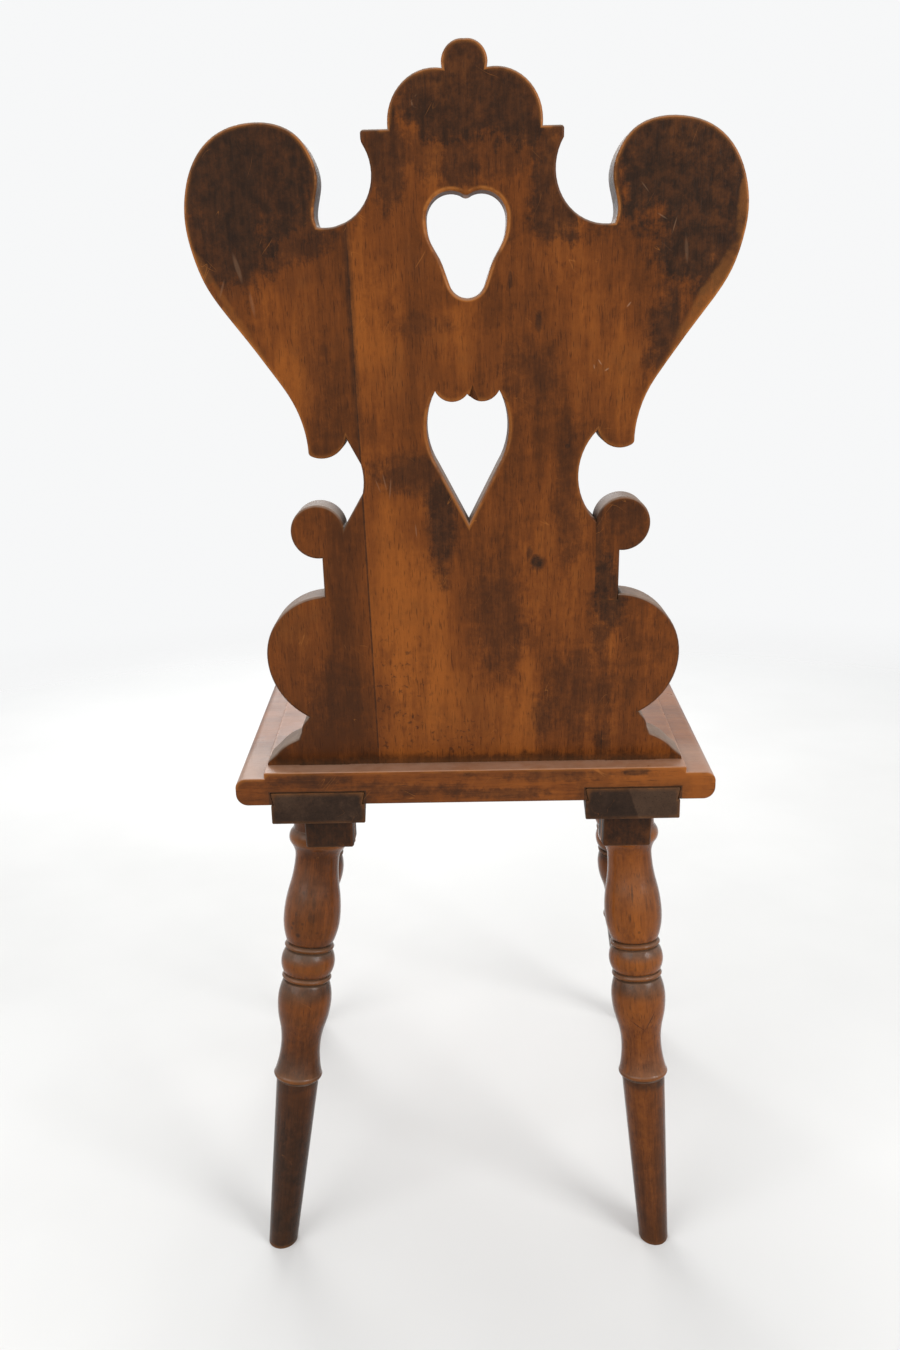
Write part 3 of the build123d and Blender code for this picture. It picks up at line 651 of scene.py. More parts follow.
def board_wear_and_shade(tree, place):
    """1 where the arrises are bare, 0 where they keep their dark film of grime and painted shade."""
    x, _, z = add(tree, "SeparateXYZ", None, Vector=place).outputs
    out = math(tree, "ABSOLUTE", x)
    high = span(tree, z, 0.62, 0.80, 0.10, 0.95)
    # the narrow notches between the cap and the wings
    notch = math(tree, "MULTIPLY", span(tree, out, 0.055, 0.060), span(tree, out, 0.102, 0.094))
    notch = math(tree, "MULTIPLY", notch, span(tree, z, 0.80, 0.83))
    high = math(tree, "MULTIPLY", high, span(tree, notch, 0.0, 1.0, 1.0, 0.12))
    # the hearts, but not the hanging scallops
    heart = math(tree, "MULTIPLY", span(tree, out, 0.042, 0.037), span(tree, z, 0.55, 0.60, 0.0, 0.60))
    scallop = math(tree, "ABSOLUTE", math(tree, "SUBTRACT", z, SCALLOP_HEIGHT))
    heart = math(tree, "MULTIPLY", heart, span(tree, scallop, 0.007, 0.011, 0.1, 1.0))
    wear = math(tree, "MAXIMUM", high, math(tree, "MULTIPLY", heart, span(tree, z, 0.895, 0.885)))
    # nothing beside the glue line or round the let-in ear
    keep = span(tree, off_glue_line(tree, x, z), 0.004, 0.007)
    low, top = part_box("ear_right")
    side = span(tree, math(tree, "ABSOLUTE", math(tree, "SUBTRACT", x, top.x)), 0.004, 0.007)
    above = span(tree, z, top.z + 0.003, top.z + 0.008)
    below = span(tree, z, low.z - 0.003, low.z - 0.008)
    side = math(tree, "MAXIMUM", side, math(tree, "MAXIMUM", above, below))
    return math(tree, "MULTIPLY", math(tree, "MULTIPLY", keep, side), wear)


sawn_board = {"arris": board_wear_and_shade, "sawn": tuple(BOARD_NORMAL), "dust_and_sheen_top": 0.8}
board_marks = {"dark_marks": board_darks, "light_marks": board_lights, "scuffs": board_scuffs,
               "rubbed_and_highlight": board_rubbed_and_highlight}
back_wood = aged_wood("back_wood", shift=(0.03, -0.09, 0.0), tone_shift=-0.045, patina=0.42,
                      **sawn_board, **board_marks)
stave_wood = aged_wood("stave_wood", shift=(0.06, -0.11, 0.31), tone_shift=-0.18,
                       **sawn_board, **board_marks)
repair_wood = aged_wood("repair_wood", shift=(0.11, -0.03, 0.2), tone_shift=-0.12, patina=0.62,
                        dark_marks=repair_darks, **sawn_board)

# %% [markdown]
# The front of such a back is carved. The photograph doesn't show it, so this relief is of the common
# kind that suits the outline: a volute on each wing, ear and lobe, a fan on the cap, a border line
# round each heart and a compass-drawn flower below them. A carver draws the lines first, and so does
# this cell. Every line is a row of points (across, up, depth) in millimetres, and a smooth curve fills
# it in. The drawing is made for one side and mirrored.

# %% Lines of the carving
GOUGE = 4.0
FLUTER = 6.5
VEINER = 3.0
FINE_VEINER = 2.2
STROKE = 2.6
RUN_OUT = -0.3
CAP_MIDDLE = (0, 448)
CAP_RIM_MIDDLE = (0, 446)
FLOWER_MIDDLE = (0, 98)
WING_LINE = [(109, 262, 0.2), (113, 275, 1.0), (121, 292, 1.6), (133, 311.5, 1.9), (147.5, 332, 2.0),
             (162, 351.5, 2.0), (173.5, 370, 2.0), (179.5, 388, 2.0)]
INNER_WING_LINE = [(100, 272, RUN_OUT), (107, 292, 0.9), (117, 316, 1.5), (129, 340, 1.6), (138, 360, 1.4),
                   (144, 378, RUN_OUT)]
NECK_LINE = [(106, 389, RUN_OUT), (92, 388.5, 1.3), (77, 395, 1.6), (63, 409, 1.6), (54.5, 428, 1.3),
             (52.5, 447, RUN_OUT)]
EAR_LINE = [(103, 150, RUN_OUT), (102.3, 165, 1.2), (102.2, 180, 1.6)]
FOOT_LINE = [(-126, 13, RUN_OUT), (-110, 13, 1.2), (0, 13, 1.4), (110, 13, 1.2), (126, 13, RUN_OUT)]
UPPER_HEART = [(0, 423.5), (6, 427.5), (14, 428.2), (24, 424.5), (32, 415.5), (35.5, 403.5), (34, 389.5),
               (28.5, 377), (24, 365), (18.5, 353.5), (10, 346), (0, 343.5)]
LOWER_HEART = [(0, 297.5), (10, 301), (20, 304.5), (29, 300), (34.5, 288), (37, 270), (34.5, 251),
               (28, 233), (18, 213.5), (8, 194), (0, 184)]
LOWER_HEART_DRIFT = 1.2
# strokes that run straight out from a middle, as (reach, depth)
FAN_RAY = (11, RUN_OUT), (18, 0.7), (28, 1.5), (34, 1.5), (37, -0.6)
PETAL = (6, -0.6), (12, 0.9), (22, 2.1), (32, 1.4), (40, -0.6)
LEAF = (25, -0.5), (30, 1.0), (36, 1.2), (41, -0.5)


def smooth_line(points, closed=False):
    """Points of (u, v, depth) in millimetres, filled in along a smooth curve at even steps."""
    ends = (points[-1], points[0], points[1]) if closed else (points[0], points[-1], points[-1])
    rows = [Vector(p) for p in (ends[0], *points, *ends[1:])]
    line = []
    for a, b, c, d in zip(rows, rows[1:], rows[2:], rows[3:]):
        steps = max(1, round((c - b).length / STROKE))
        for step in range(steps):
            t = step / steps
            line.append(0.5 * (2 * b + (c - a) * t + (2 * a - 5 * b + 4 * c - d) * t ** 2
                               + (3 * b - 3 * c + d - a) * t ** 3))
    return line if closed else line + [rows[-2]]


def volute(middle, start, turn, outer, inner, depths, ease=1.15):
    """Points on a spiral about a middle, from an outer to an inner radius, angles in degrees."""
    points = []
    count = max(8, round(abs(turn) / 15))
    for step in range(count + 1):
        share = step / count
        angle = radians(start + turn * share)
        radius = outer + (inner - outer) * share ** ease
        points.append((middle[0] + radius * cos(angle), middle[1] + radius * sin(angle),
                       depths[0] + (depths[1] - depths[0]) * share))
    return points


def ray(middle, degrees, stroke):
    """A straight stroke out from a middle."""
    angle = radians(degrees)
    return [(middle[0] + reach * cos(angle), middle[1] + reach * sin(angle), depth)
            for reach, depth in stroke]


def ring(middle, radius, degrees, depth):
    """Points on a circle about a middle, each at the depth that its angle gives."""
    return [point for a in degrees for point in ray(middle, a, [(radius, depth(a))])]


def carving_lines():
    """Every stroke on the front as (points, tool, closed)."""
    strokes = []
    for side in (1, -1):
        wing = WING_LINE + volute((144, 418), -20, 720, 38.5, 5, (2.1, 1.5))
        ear = EAR_LINE + volute((115, 192), 175, -500, 12.8, 3.4, (1.6, 1.2), 1.0)
        lobe = volute((111.8, 91), 100, -640, 39.5, 6, (1.4, 1.8))
        for points in (wing, INNER_WING_LINE, ear, lobe, NECK_LINE):
            strokes.append(([(side * u, v, depth) for u, v, depth in points], GOUGE, False))
    for heart, drift in ((UPPER_HEART, 0.0), (LOWER_HEART, LOWER_HEART_DRIFT)):
        loop = [(u + drift, v, 1.3) for u, v in heart] + [(drift - u, v, 1.3) for u, v in heart[-2:0:-1]]
        strokes.append((loop, VEINER, True))
    for number in range(9):
        strokes.append((ray(CAP_MIDDLE, 18 + number * 18, FAN_RAY), GOUGE, False))
    rim = ring(CAP_RIM_MIDDLE, 43, range(0, 181, 12), lambda a: 1.2 if 5 < a < 175 else RUN_OUT)
    strokes.append((rim, FINE_VEINER, False))
    for number in range(6):
        strokes.append((ray(FLOWER_MIDDLE, 30 + 60 * number, PETAL), FLUTER, False))
        strokes.append((ray(FLOWER_MIDDLE, 60 + 60 * number, LEAF), GOUGE, False))
    strokes.append((ring(FLOWER_MIDDLE, 48, range(0, 360, 12), lambda a: 1.3), VEINER, True))
    strokes.append((FOOT_LINE, VEINER, False))
    return strokes


strokes = carving_lines()
print("carving:", len(strokes), "strokes")

# %% [markdown]
# A carver pushes a round gouge along each line, deeper in the middle of the stroke. Here each line
# becomes a round bar that lies half out of the front face, to be taken out of the wood later. The bars
# are bridged from circles, because a bar's distance from the face then sets the depth at every point.
# One cut is on the rear: the knife's mark between the two scallops that hang into the lower heart. It
# is the hull of a triangle over the face and one point in the wood.

# %% Gouge bars and a knife cut
UP = Vector((0.0, sin(TILT), cos(TILT)))
FRONT_FOOT = Vector((0.0, (FRONT_FACE + SEAT_TOP * sin(TILT)) / cos(TILT), SEAT_TOP))
REAR_FOOT = FRONT_FOOT + BOARD_NORMAL * (REAR_FACE - FRONT_FACE)
KNIFE_CORNERS = (3.4, 283.8), (-3.0, 298.5), (-8.2, 285.0)
KNIFE_HEEL = (-0.6, 285.5)
KNIFE_PROUD = 1.2
KNIFE_DEEP = 9.0


def on_board(foot, u, v, out):
    """The point u across, v up and out from a face of the board, given in millimetres."""
    return foot + (Vector((u, 0, 0)) + UP * v + BOARD_NORMAL * out) / 1000


def gouge_bar(bm, line, tool, closed, sides=12):
    """A round bar along a line, sunk into the front face by the depth at each point."""
    rings = []
    for at, (u, v, depth) in enumerate(line):
        before = line[at - 1] if at or closed else line[at]
        after = line[(at + 1) % len(line)] if at + 1 < len(line) or closed else line[at]
        run = Vector((after[0] - before[0], 0, 0)) + UP * (after[1] - before[1])
        side = run.normalized().cross(BOARD_NORMAL)
        place = Matrix((side, BOARD_NORMAL, run.normalized())).transposed().to_4x4()
        place.translation = on_board(FRONT_FOOT, u, v, depth - tool)
        circle = bmesh.ops.create_circle(bm, cap_ends=not closed and at in (0, len(line) - 1),
                                         segments=sides, radius=tool / 1000, matrix=place)["verts"]
        known = set(circle)
        around = {e for v in circle for e in v.link_edges}
        rings.append([e for e in around if all(w in known for w in e.verts)])
    if closed:
        rings.append(rings[0])
    for first, second in zip(rings, rings[1:]):
        bmesh.ops.bridge_loops(bm, edges=first + second)


def knife_cut(bm):
    """A triangle over the rear face that runs down to one point in the wood."""
    points = [on_board(REAR_FOOT, *corner, KNIFE_PROUD) for corner in KNIFE_CORNERS]
    points.append(on_board(REAR_FOOT, *KNIFE_HEEL, -KNIFE_DEEP))
    bmesh.ops.convex_hull(bm, input=[bm.verts.new(point) for point in points])


bars = bmesh.new()
for points, tool, closed in strokes:
    gouge_bar(bars, smooth_line(points, closed), tool, closed)
knife_cut(bars)
bmesh.ops.recalc_face_normals(bars, faces=bars.faces[:])
gouge_mesh = bpy.data.meshes.new("gouge")
bars.to_mesh(gouge_mesh)
bars.free()
print("gouge bars:", len(gouge_mesh.polygons), "faces")

# %% [markdown]
# The sawn walls of free curves come as a fine net of triangles whose points don't meet those of the
# faces' outlines, and a rounding can't run along such an edge. Smoothing the net would spoil the sawn
# line. So the net is taken off, and each step of the rear outline is joined straight through the board
# to the same step of the front one.

# %% Straight walls for the sawn curves
SLACK = 1e-4
SAME_WALL = radians(0.3)


def net_of_walls(inner):
    """The faces round the net's inner points, and all that run on flat from them."""
    walls = {f for v in inner for f in v.link_faces}
    front = list(walls)
    while front:
        face = front.pop()
        for edge in face.edges:
            for other in edge.link_faces:
                if other not in walls and other.normal.angle(face.normal) < SAME_WALL:
                    walls.add(other)
                    front.append(other)
    return walls


def straight_walls(bm):
    through = BOARD_NORMAL * (REAR_FACE - FRONT_FACE)
    inner = [v for v in bm.verts if v.co.z > SEAT_TOP + SLACK
             and FRONT_FACE + SLACK < BOARD_NORMAL.dot(v.co) < REAR_FACE - SLACK]
    bmesh.ops.delete(bm, geom=list(net_of_walls(inner)), context="FACES")
    bmesh.ops.dissolve_verts(bm, verts=[v for v in inner if v.is_valid and len(v.link_edges) == 2])
    front = [v for v in bm.verts if BOARD_NORMAL.dot(v.co) < FRONT_FACE + SLACK]
    places = KDTree(len(front))
    for number, v in enumerate(front):
        places.insert(v.co, number)
    places.balance()
    made = missed = 0
    for edge in [e for e in bm.edges if e.is_boundary]:
        if all(BOARD_NORMAL.dot(v.co) > REAR_FACE - SLACK for v in edge.verts):
            found = [places.find(v.co - through) for v in edge.verts]
            if max(distance for _, _, distance in found) > SLACK:
                missed += 1
                continue
            a, b = edge.verts
            bm.faces.new((a, b, front[found[1][1]], front[found[0][1]]))
            made += 1
    bmesh.ops.recalc_face_normals(bm, faces=bm.faces[:])
    bm.normal_update()
    print("wall strips made", made, "missed", missed, "open", sum(not e.is_manifold for e in bm.edges))


# %% [markdown]
# Not every edge of the back is an arris. The joints stay tight, so an edge is skipped where both its
# ends and its middle also belong to a neighbour. Fingers have rounded the hearts more than the rest,
# the hanging scallops are still crisp, and the thin toes on the seat stay sharp. Near a sharp corner
# the outline's points lie closer than the rounding is wide, and it would fold over them. Those points
# are taken out first.

# %% Arrises of the back
BACK_NODES = ("back_board", "wing_stave_left", "side_stave_left", "ear_right")
ARRIS = 0.0021
HEART_ARRIS = 0.0030
SCALLOP_ARRIS = 0.0008
TOUCHING = 3e-5
CORNER = radians(25)


def joint_test(node):
    """Returns a test that tells whether an edge lies on a joint with another piece of the back."""
    trees = []
    for other in BACK_NODES:
        if other != node:
            bm = joined_copy(other, flat=False)
            trees.append(BVHTree.FromBMesh(bm))
            bm.free()

    def on_joint(edge):
        ends = [v.co for v in edge.verts]
        points = ends + [(ends[0] + ends[1]) / 2]
        return any(all(tree.find_nearest(point)[3] < TOUCHING for point in points) for tree in trees)

    return on_joint


def in_scallop(edge):
    return all(abs(v.co.x) < 0.0245 and 0.7355 < v.co.z < 0.7450 for v in edge.verts)


def in_heart(edge):
    middle = (edge.verts[0].co + edge.verts[1].co) / 2
    return abs(middle.x) < 0.037 and 0.56 < middle.z < 0.90 and not in_scallop(edge)


def at_seat(edge):
    return all(abs(v.co.z - SEAT_TOP) < 0.0045 for v in edge.verts)


def runs_through(edge):
    run = edge.verts[1].co - edge.verts[0].co
    return abs(run.normalized().dot(BOARD_NORMAL)) > 0.999


def clear_corners(bm, width):
    """Takes out the outline's points that are nearer to a sharp corner than the rounding reaches."""
    doomed = set()
    for corner in bm.edges:
        if not runs_through(corner) or corner.calc_face_angle() < CORNER or not corner.is_convex:
            continue
        reach = 1.2 * width * tan(corner.calc_face_angle() / 2)
        for face in corner.link_faces:
            edge, gone = corner, 0.0
            while True:
                across = [e for e in face.edges if e is not edge and runs_through(e)]
                if len(across) != 1:
                    break
                gone += (across[0].verts[0].co - edge.verts[0].co).cross(BOARD_NORMAL).length
                edge = across[0]
                if gone >= reach or edge.calc_face_angle() > CORNER:
                    break
                doomed.add(edge)
                face = next(f for f in edge.link_faces if f is not face)
    bmesh.ops.dissolve_edges(bm, edges=list(doomed), use_verts=True)
    print("corner points cleared:", len(doomed))


# %% [markdown]
# Now the back board, its two glued-on staves and the let-in ear go through the same steps: straight
# walls, clear corners, round arrises, and the carving, which one boolean takes out of the wood.

# %% Back board
def cut_away(bm, tool_mesh):
    """Takes a tool's shape out of the wood with a boolean and returns the carved bmesh."""
    wood_mesh = bpy.data.meshes.new("wood")
    bm.to_mesh(wood_mesh)
    bm.free()
    wood, tool = bpy.data.objects.new("wood", wood_mesh), bpy.data.objects.new("tool", tool_mesh)
    for thing in (wood, tool):
        bpy.context.scene.collection.objects.link(thing)
    cut = wood.modifiers.new("cut", "BOOLEAN")
    cut.operation, cut.solver, cut.use_self, cut.object = "DIFFERENCE", "EXACT", True, tool
    carved = bpy.data.meshes.new_from_object(wood.evaluated_get(bpy.context.evaluated_depsgraph_get()))
    for thing in (wood, tool):
        bpy.data.objects.remove(thing)
    bm = bmesh.new()
    bm.from_mesh(carved)
    bpy.data.meshes.remove(carved)
    return bm


for node in BACK_NODES:
    bm = joined_copy(node, mend=straight_walls)
    clear_corners(bm, HEART_ARRIS)
    on_joint = joint_test(node)
    if node == "back_board":
        round_arrises(bm, HEART_ARRIS, only=in_heart)
        round_arrises(bm, SCALLOP_ARRIS, only=in_scallop, segments=2)
    round_arrises(bm, ARRIS, skip=lambda edge: (on_joint(edge) or in_heart(edge) or in_scallop(edge)
                                                or at_seat(edge)))
    bm = cut_away(bm, gouge_mesh)
    material = {"ear_right": repair_wood, "back_board": back_wood}.get(node, stave_wood)
    finished(bm, node + "_worn", node, material)

# %% [markdown]
# The seat is one plank with its grain from side to side. Clothes have polished its middle lighter and wiped
# it, so dust lies only on the ledge behind the back; the pale ledge and the lighter upper faces are also a
# painted sheen. Its lower arrises are dark with grime and painted shade, the upper ones bare. Dirt and a
# painted shadow darken the joints round the ends of the battens, whose places are measured.

# %% Seat
BACK_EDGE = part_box("seat_board")[1].y
# pale dust on the ledge, which is also a painted sheen where it catches the light
LEDGE_DUST_AND_SHEEN = (0.42, 0.25, 0.17)
SEAT_ARRIS = 0.0010
EDGE_DENTS = [(60, -14, 50, 6, 0.45), (-70, -6, 60, 5, 0.45), (130, -8, 26, 8, 0.5),
              (-20, -20, 40, 5, 0.55), (-128, -4, 10, 3, 0.8)]
POLISHED_MIDDLE = (0.0, -0.045, 0.0)
POLISHED_HALF = (0.155, 0.120, 1e3)


def batten_ends():
    """Left edge, right edge and top of each batten at the seat's rear edge."""
    ends = []
    for word in ("left", "right"):
        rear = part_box("batten_" + word)[1].y - 0.002
        ring = [v.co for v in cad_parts["batten_" + word].data.vertices if v.co.y > rear]
        ends.append((min(c.x for c in ring), max(c.x for c in ring), max(c.z for c in ring)))
    return ends


def seat_darks_and_shadow(tree, place, look):
    """Dirt and a painted shadow in the joints round the batten ends, and a few dents along the rear edge."""
    x, y, z = add(tree, "SeparateXYZ", None, Vector=place).outputs
    total = spots(tree, place, look, EDGE_DENTS)
    for low, high, top in batten_ends():
        across = math(tree, "ABSOLUTE", math(tree, "SUBTRACT", x, (low + high) / 2))
        outside = math(tree, "MAXIMUM", math(tree, "SUBTRACT", across, (high - low) / 2),
                       math(tree, "SUBTRACT", z, top))
        # a painted shadow with dirt in the joint round each batten end, and a wider, fainter painted shadow
        # round it
        total = math(tree, "MAXIMUM", total, span(tree, outside, 0.0022, 0.0010, 0.0, 0.93))
        total = math(tree, "MAXIMUM", total, span(tree, outside, 0.012, 0.001, 0.0, 0.4))
    return math(tree, "MULTIPLY", total, span(tree, y, BACK_EDGE - 0.006, BACK_EDGE - 0.002))


def seat_wear_and_shade(tree, place):
    """The lower arrises are dark with grime and painted shade, the upper ones bare."""
    return span(tree, add(tree, "SeparateXYZ", None, Vector=place).outputs[2], 0.4400, 0.4425, 0.08, 0.8)


def seat_lights(tree, place, look):
    """Clothes have polished the middle of the seat lighter; its rim keeps the darker film."""
    put = add(tree, "Mapping", {"vector_type": "TEXTURE"}, Vector=place, Location=POLISHED_MIDDLE,
              Scale=POLISHED_HALF)
    far = add(tree, "VectorMath", {"operation": "LENGTH"}, i0=put.outputs[0]).outputs["Value"]
    far = math(tree, "ADD", far, centred(tree, (look["blotch"], 1.4), (look["patch"], 0.8)))
    return span(tree, far, 1.30, 0.45, -0.10, 0.16)


def behind_the_back(tree, place):
    """Dust and a painted sheen lie on the ledge behind the back board; in front of it the seat is wiped by
    use.
    """
    return span(tree, add(tree, "SeparateXYZ", None, Vector=place).outputs[1], 0.085, 0.125, 0.22, 1.0)


seat_wood = aged_wood("seat_wood", turn=(0, radians(90), 0), shift=(0.0, 0.05, 0.06), patina=0.4,
                      rough=0.34, shine=0.16, worn_and_sheen_top=0.45, tone_shift=0.10, dust_and_sheen_top=0.72,
                      dust_and_sheen=LEDGE_DUST_AND_SHEEN, where_dust_and_sheen=behind_the_back, dark_marks=seat_darks_and_shadow,
                      light_marks=seat_lights, arris=seat_wear_and_shade)
bm = joined_copy("seat_board")
round_arrises(bm, SEAT_ARRIS, segments=3)
finished(bm, "seat_board_worn", "seat_board", seat_wood)

# %% [markdown]
# The two battens slide into the seat from behind. Their grain runs from back to front, so their ends
# show the cut fibres. They are darker and greyer than the rest and quite dull, so they have tones of
# their own. The right one's end is darker on one side of a slanting line.

# %% Battens
BATTEN_TONES = ((0.016, 0.0078, 0.0040), (0.031, 0.0155, 0.0085), (0.060, 0.032, 0.018))
BATTEN_ARRIS = 0.0012
LINE_SLANT = 0.33
LINE_START = 0.2665


def batten_lights(tree, place, look):
    """The right batten's end is darker left of a slanting line."""
    x, _, z = add(tree, "SeparateXYZ", None, Vector=place).outputs
    line = math(tree, "SUBTRACT", math(tree, "MULTIPLY", z, LINE_SLANT), LINE_START)
    line = math(tree, "ADD", line, centred(tree, (look["mottle"], 0.004)))
    right = span(tree, math(tree, "SUBTRACT", line, x), -0.001, 0.001, -0.12, 0.26)
    return math(tree, "MULTIPLY", right, span(tree, x, 0.0, -0.05))


batten_wood = aged_wood("batten_wood", turn=(radians(90), 0, 0), shift=(0.1, 0.0, 0.45),
                        tones=BATTEN_TONES, light_marks=batten_lights, bare=0.22, dusty=0.6, rough=0.6)
for word in ("left", "right"):
    bm = joined_copy("batten_" + word)
    round_arrises(bm, BATTEN_ARRIS, segments=3)
    finished(bm, "batten_" + word + "_worn", "batten_" + word, batten_wood)

# %% [markdown]
# Damp floors and brooms have darkened the legs' feet, and the feet are darker still as a painted shade near
# the floor. Old wax fills the turned grooves, and bands round them are darkened as painted shade, as is the
# top of each leg under the batten. These marks go by height. The right rear leg shows less of the feet's
# stain and painted shade than the others. Spots and cracks sit at places of their own, given by their height
# and how far they are across from the axis.

# %% Marks on the legs
# heights of the waxy grooves, darkened in bands that are also painted shade, and half their bands
GROOVES = ((0.2705, 0.010), (0.2385, 0.015), (0.1500, 0.009))
LEG_TONE = {"leg_rear_left": -0.06, "leg_rear_right": 0.03}
# how much of the foot's stain and painted shade near the floor each leg shows
LEG_DAMP_AND_SHADE = {"leg_rear_right": 0.45}
# darker tone of the foot, partly painted shade near the floor
FOOT_TONE_AND_SHADE = -0.36
# spots and cracks as (across from the axis, height, half width, half height, strength, lean)
LEG_SPOTS = {
    "leg_rear_left": [(9, 290, 2.4, 2.2, 0.8), (14, 300, 1.6, 1.6, 0.7), (15, 296, 1.4, 2.0, 0.6),
                      (5, 301, 1.4, 1.4, 0.6), (7, 327, 1.6, 1.4, 0.6), (12, 309, 1.2, 1.6, 0.6),
                      (-2, 306, 3.0, 5.0, 0.4), (-8, 292, 1.6, 1.4, 0.5), (-3, 318, 2.0, 6.0, 0.45)],
    "leg_rear_right": [(-6, 209, 0.5, 11, 0.85, -26), (5, 205, 0.5, 7.5, 0.8, 54), (3, 322, 0.9, 10, 0.7),
                       (6, 303, 1.0, 4, 0.7), (-1, 289, 1.4, 1.4, 0.6), (-9, 312, 1.0, 7, 0.3)],
}


def feet_dark_and_shade(tree, place, look, rows, damp_and_shade):
    """Stained feet, waxy grooves and the spots and cracks of the rows, with painted shade near the floor,
    round the grooves and under the batten.
    """
    height = add(tree, "SeparateXYZ", None, Vector=place).outputs[2]
    dark = span(tree, height, 0.27, 0.02, 0.0, damp_and_shade)
    # the top of the leg is darker as painted shade under the batten
    dark = math(tree, "MAXIMUM", dark, span(tree, height, 0.35, 0.42, 0.0, 0.6))
    # bands round the grooves: old wax and painted shade
    for middle, half in GROOVES:
        off = math(tree, "ABSOLUTE", math(tree, "SUBTRACT", height, middle))
        dark = math(tree, "MAXIMUM", dark, span(tree, off, half, 0.2 * half, 0.0, 0.72))
    dark = math(tree, "MULTIPLY", dark, span(tree, look["patch"], 0.3, 0.6, 0.7, 1.1))
    if not rows:
        return dark
    facing = add(tree, "SeparateXYZ", None, Vector=add(tree, "NewGeometry").outputs["Normal"]).outputs[1]
    marks = spots(tree, place, look, rows, ragged=0.5)
    return math(tree, "MAXIMUM", dark, math(tree, "MULTIPLY", marks, span(tree, facing, 0.0, 0.3)))


def leg_tones_and_shade(tree, place, look, damp_and_shade):
    """The wood is darker towards the foot: a darker tone, partly painted shade near the floor."""
    height = add(tree, "SeparateXYZ", None, Vector=place).outputs[2]
    return span(tree, height, 0.02, 0.20, FOOT_TONE_AND_SHADE * damp_and_shade, 0.0)


def spot_rows(node, foot, lean):
    """The leg's spots in the rows that the marks read, moved along with its leaning axis."""
    return [((foot + lean * z / 1000).x * 1000 + across, (z / 1000 - SEAT_TOP) / cos(TILT) * 1000, *rest)
            for across, z, *rest in LEG_SPOTS.get(node, ())]


print("spots on the legs:", {node: len(rows) for node, rows in LEG_SPOTS.items()})

# %% [markdown]
# The turned legs. On the lathe they were cut crisper than the measured solids show, so the grooves are
# deepened and the beads between them lifted: planes cut rings into the leg at each of them, and the
# rings' points move in or out by a smooth step. What then stands out from its neighbourhood is marked
# as rubbed. The grain follows each leg's own axis, so each gets its own turn of the recipe.

# %% Legs
BATTEN_UNDER = 0.41175
LEG_ARRIS = 0.0006
# middle below the batten, change of radius and half length of each groove or bead, in millimetres
CRISP = ((141.2, -1.5, 1.3), (143.9, 0.9, 1.9), (146.7, -0.9, 1.0), (169.6, -1.0, 1.0), (172.3, 0.9, 1.9),
         (175.2, -1.5, 1.3), (262.6, 0.7, 2.3), (266.2, -0.8, 1.2))
RING_SHARES = (-1, -0.75, -0.5, -0.25, 0, 0.25, 0.5, 0.75, 1)
MILLIMETRE = 0.001
THINNEST = 0.010
NEIGHBOURHOOD = 10
FULLY_PROUD = 0.0022


def leg_axis(node):
    """Middle of the foot and middle of the shoulder under the batten."""
    ends = []
    for height in (0.0, BATTEN_UNDER):
        ring = [v.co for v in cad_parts[node].data.vertices if abs(v.co.z - height) < 0.0006]
        ends.append(Vector(((min(c.x for c in ring) + max(c.x for c in ring)) / 2,
                            (min(c.y for c in ring) + max(c.y for c in ring)) / 2, height)))
    return ends


def cut_crisper(bm, foot, head):
    """Deepens the grooves and lifts the beads between them, each by a smooth step round its place."""
    axis = (head - foot).normalized()
    for middle, _, half in CRISP:
        for share in RING_SHARES:
            bmesh.ops.bisect_plane(bm, geom=bm.verts[:] + bm.edges[:] + bm.faces[:], dist=1e-6,
                                   plane_co=head - axis * (middle + share * half) / 1000, plane_no=axis)
    for v in bm.verts:
        down = (head - v.co).dot(axis) * 1000
        moved = sum(change * (1 - ((down - middle) / half) ** 2) ** 2
                    for middle, change, half in CRISP if abs(down - middle) < half)
        if moved:
            out = v.co - head + axis * down / 1000
            v.co += out.normalized() * moved / 1000


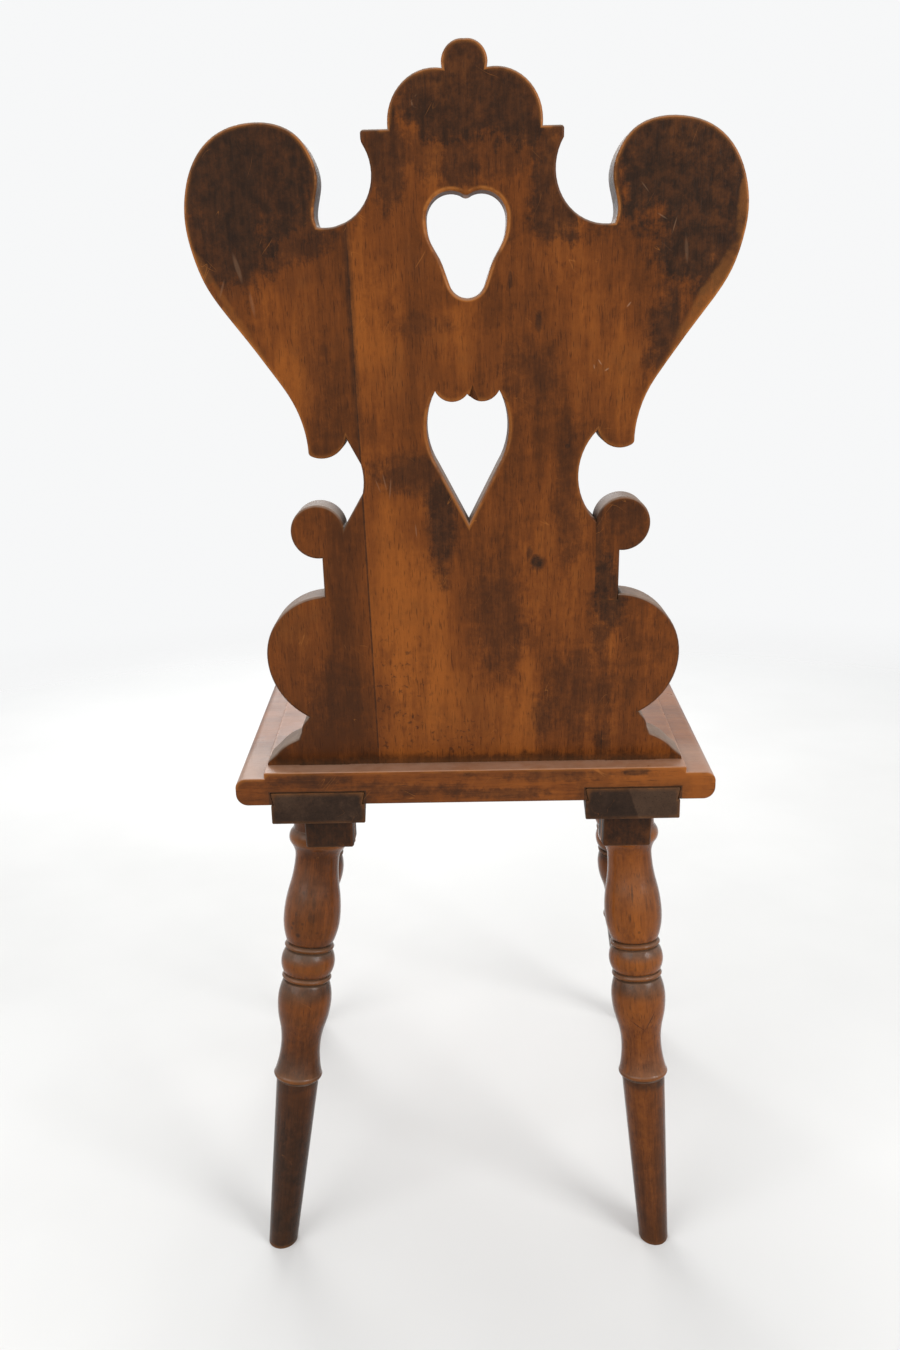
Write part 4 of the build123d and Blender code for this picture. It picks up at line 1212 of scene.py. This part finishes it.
def polish_bulbs(bm, foot, head):
    """Marks what stands out from its neighbourhood along the leg, which hands and cloths reach."""
    axis = (head - foot).normalized()
    runs = [((v.co - foot).dot(axis), (v.co - foot).cross(axis).length) for v in bm.verts]
    steps = np.arange(0.0, (head - foot).length, MILLIMETRE)
    order = sorted({round(run, 5): radius for run, radius in runs if radius > THINNEST}.items())
    radii = np.interp(steps, [run for run, _ in order], [radius for _, radius in order])
    padded = np.pad(radii, NEIGHBOURHOOD, mode="edge")
    window = 2 * NEIGHBOURHOOD + 1
    mean = np.convolve(padded, np.ones(window) / window, mode="valid")
    rub = bm.verts.layers.float["rub"]
    for v, (run, radius) in zip(bm.verts, runs):
        proud = radius - float(np.interp(run, steps, mean))
        v[rub] = max(v[rub] * 0.6, min(1.0, max(0.0, proud / FULLY_PROUD)))


leg_nodes = sorted(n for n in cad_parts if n.startswith("leg_") and "wedge" not in n)
for number, node in enumerate(leg_nodes):
    foot, head = leg_axis(node)
    turn = Vector((0, 0, 1)).rotation_difference(head - foot).to_euler()
    rows = spot_rows(node, foot, (head - foot) / (head.z - foot.z))
    damp_and_shade = LEG_DAMP_AND_SHADE.get(node, 1.0)
    wood = aged_wood(node + "_wood", turn=tuple(turn), shift=(foot.x + 0.012, foot.y + 0.01, 0.3 * number),
                     tone_shift=LEG_TONE.get(node, -0.04), light_marks=partial(leg_tones_and_shade, damp_and_shade=damp_and_shade),
                     dark_marks=partial(feet_dark_and_shade, rows=rows, damp_and_shade=damp_and_shade), bare=0.34, dusty=0.60,
                     dust_and_sheen_top=0.32, rough=0.20, shine=0.17)
    bm = joined_copy(node, flat=False)
    round_arrises(bm, LEG_ARRIS, segments=2)
    cut_crisper(bm, foot, head)
    polish_bulbs(bm, foot, head)
    finished(bm, node + "_worn", node, wood)

# %% [markdown]
# The wedges keep their measured shape. A weld joins their triangles and a small live bevel breaks
# their arrises.

# %% Wedges
WEDGE_TONES = ((0.05, 0.022, 0.009), (0.10, 0.046, 0.017), (0.17, 0.08, 0.03))
WEDGE_ARRIS = 0.0003
wedge_wood = aged_wood("wedge_wood", tones=WEDGE_TONES, patina=0.3)
for node in sorted(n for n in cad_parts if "wedge" in n):
    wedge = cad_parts[node]
    wedge.modifiers.new("join", "WELD").merge_threshold = JOIN
    bevel = wedge.modifiers.new("arris", "BEVEL")
    bevel.width = WEDGE_ARRIS
    bevel.segments = 2
    wedge.data.materials.clear()
    wedge.data.materials.append(wedge_wood)
    print(node, "joined, with an arris of", WEDGE_ARRIS, "m")
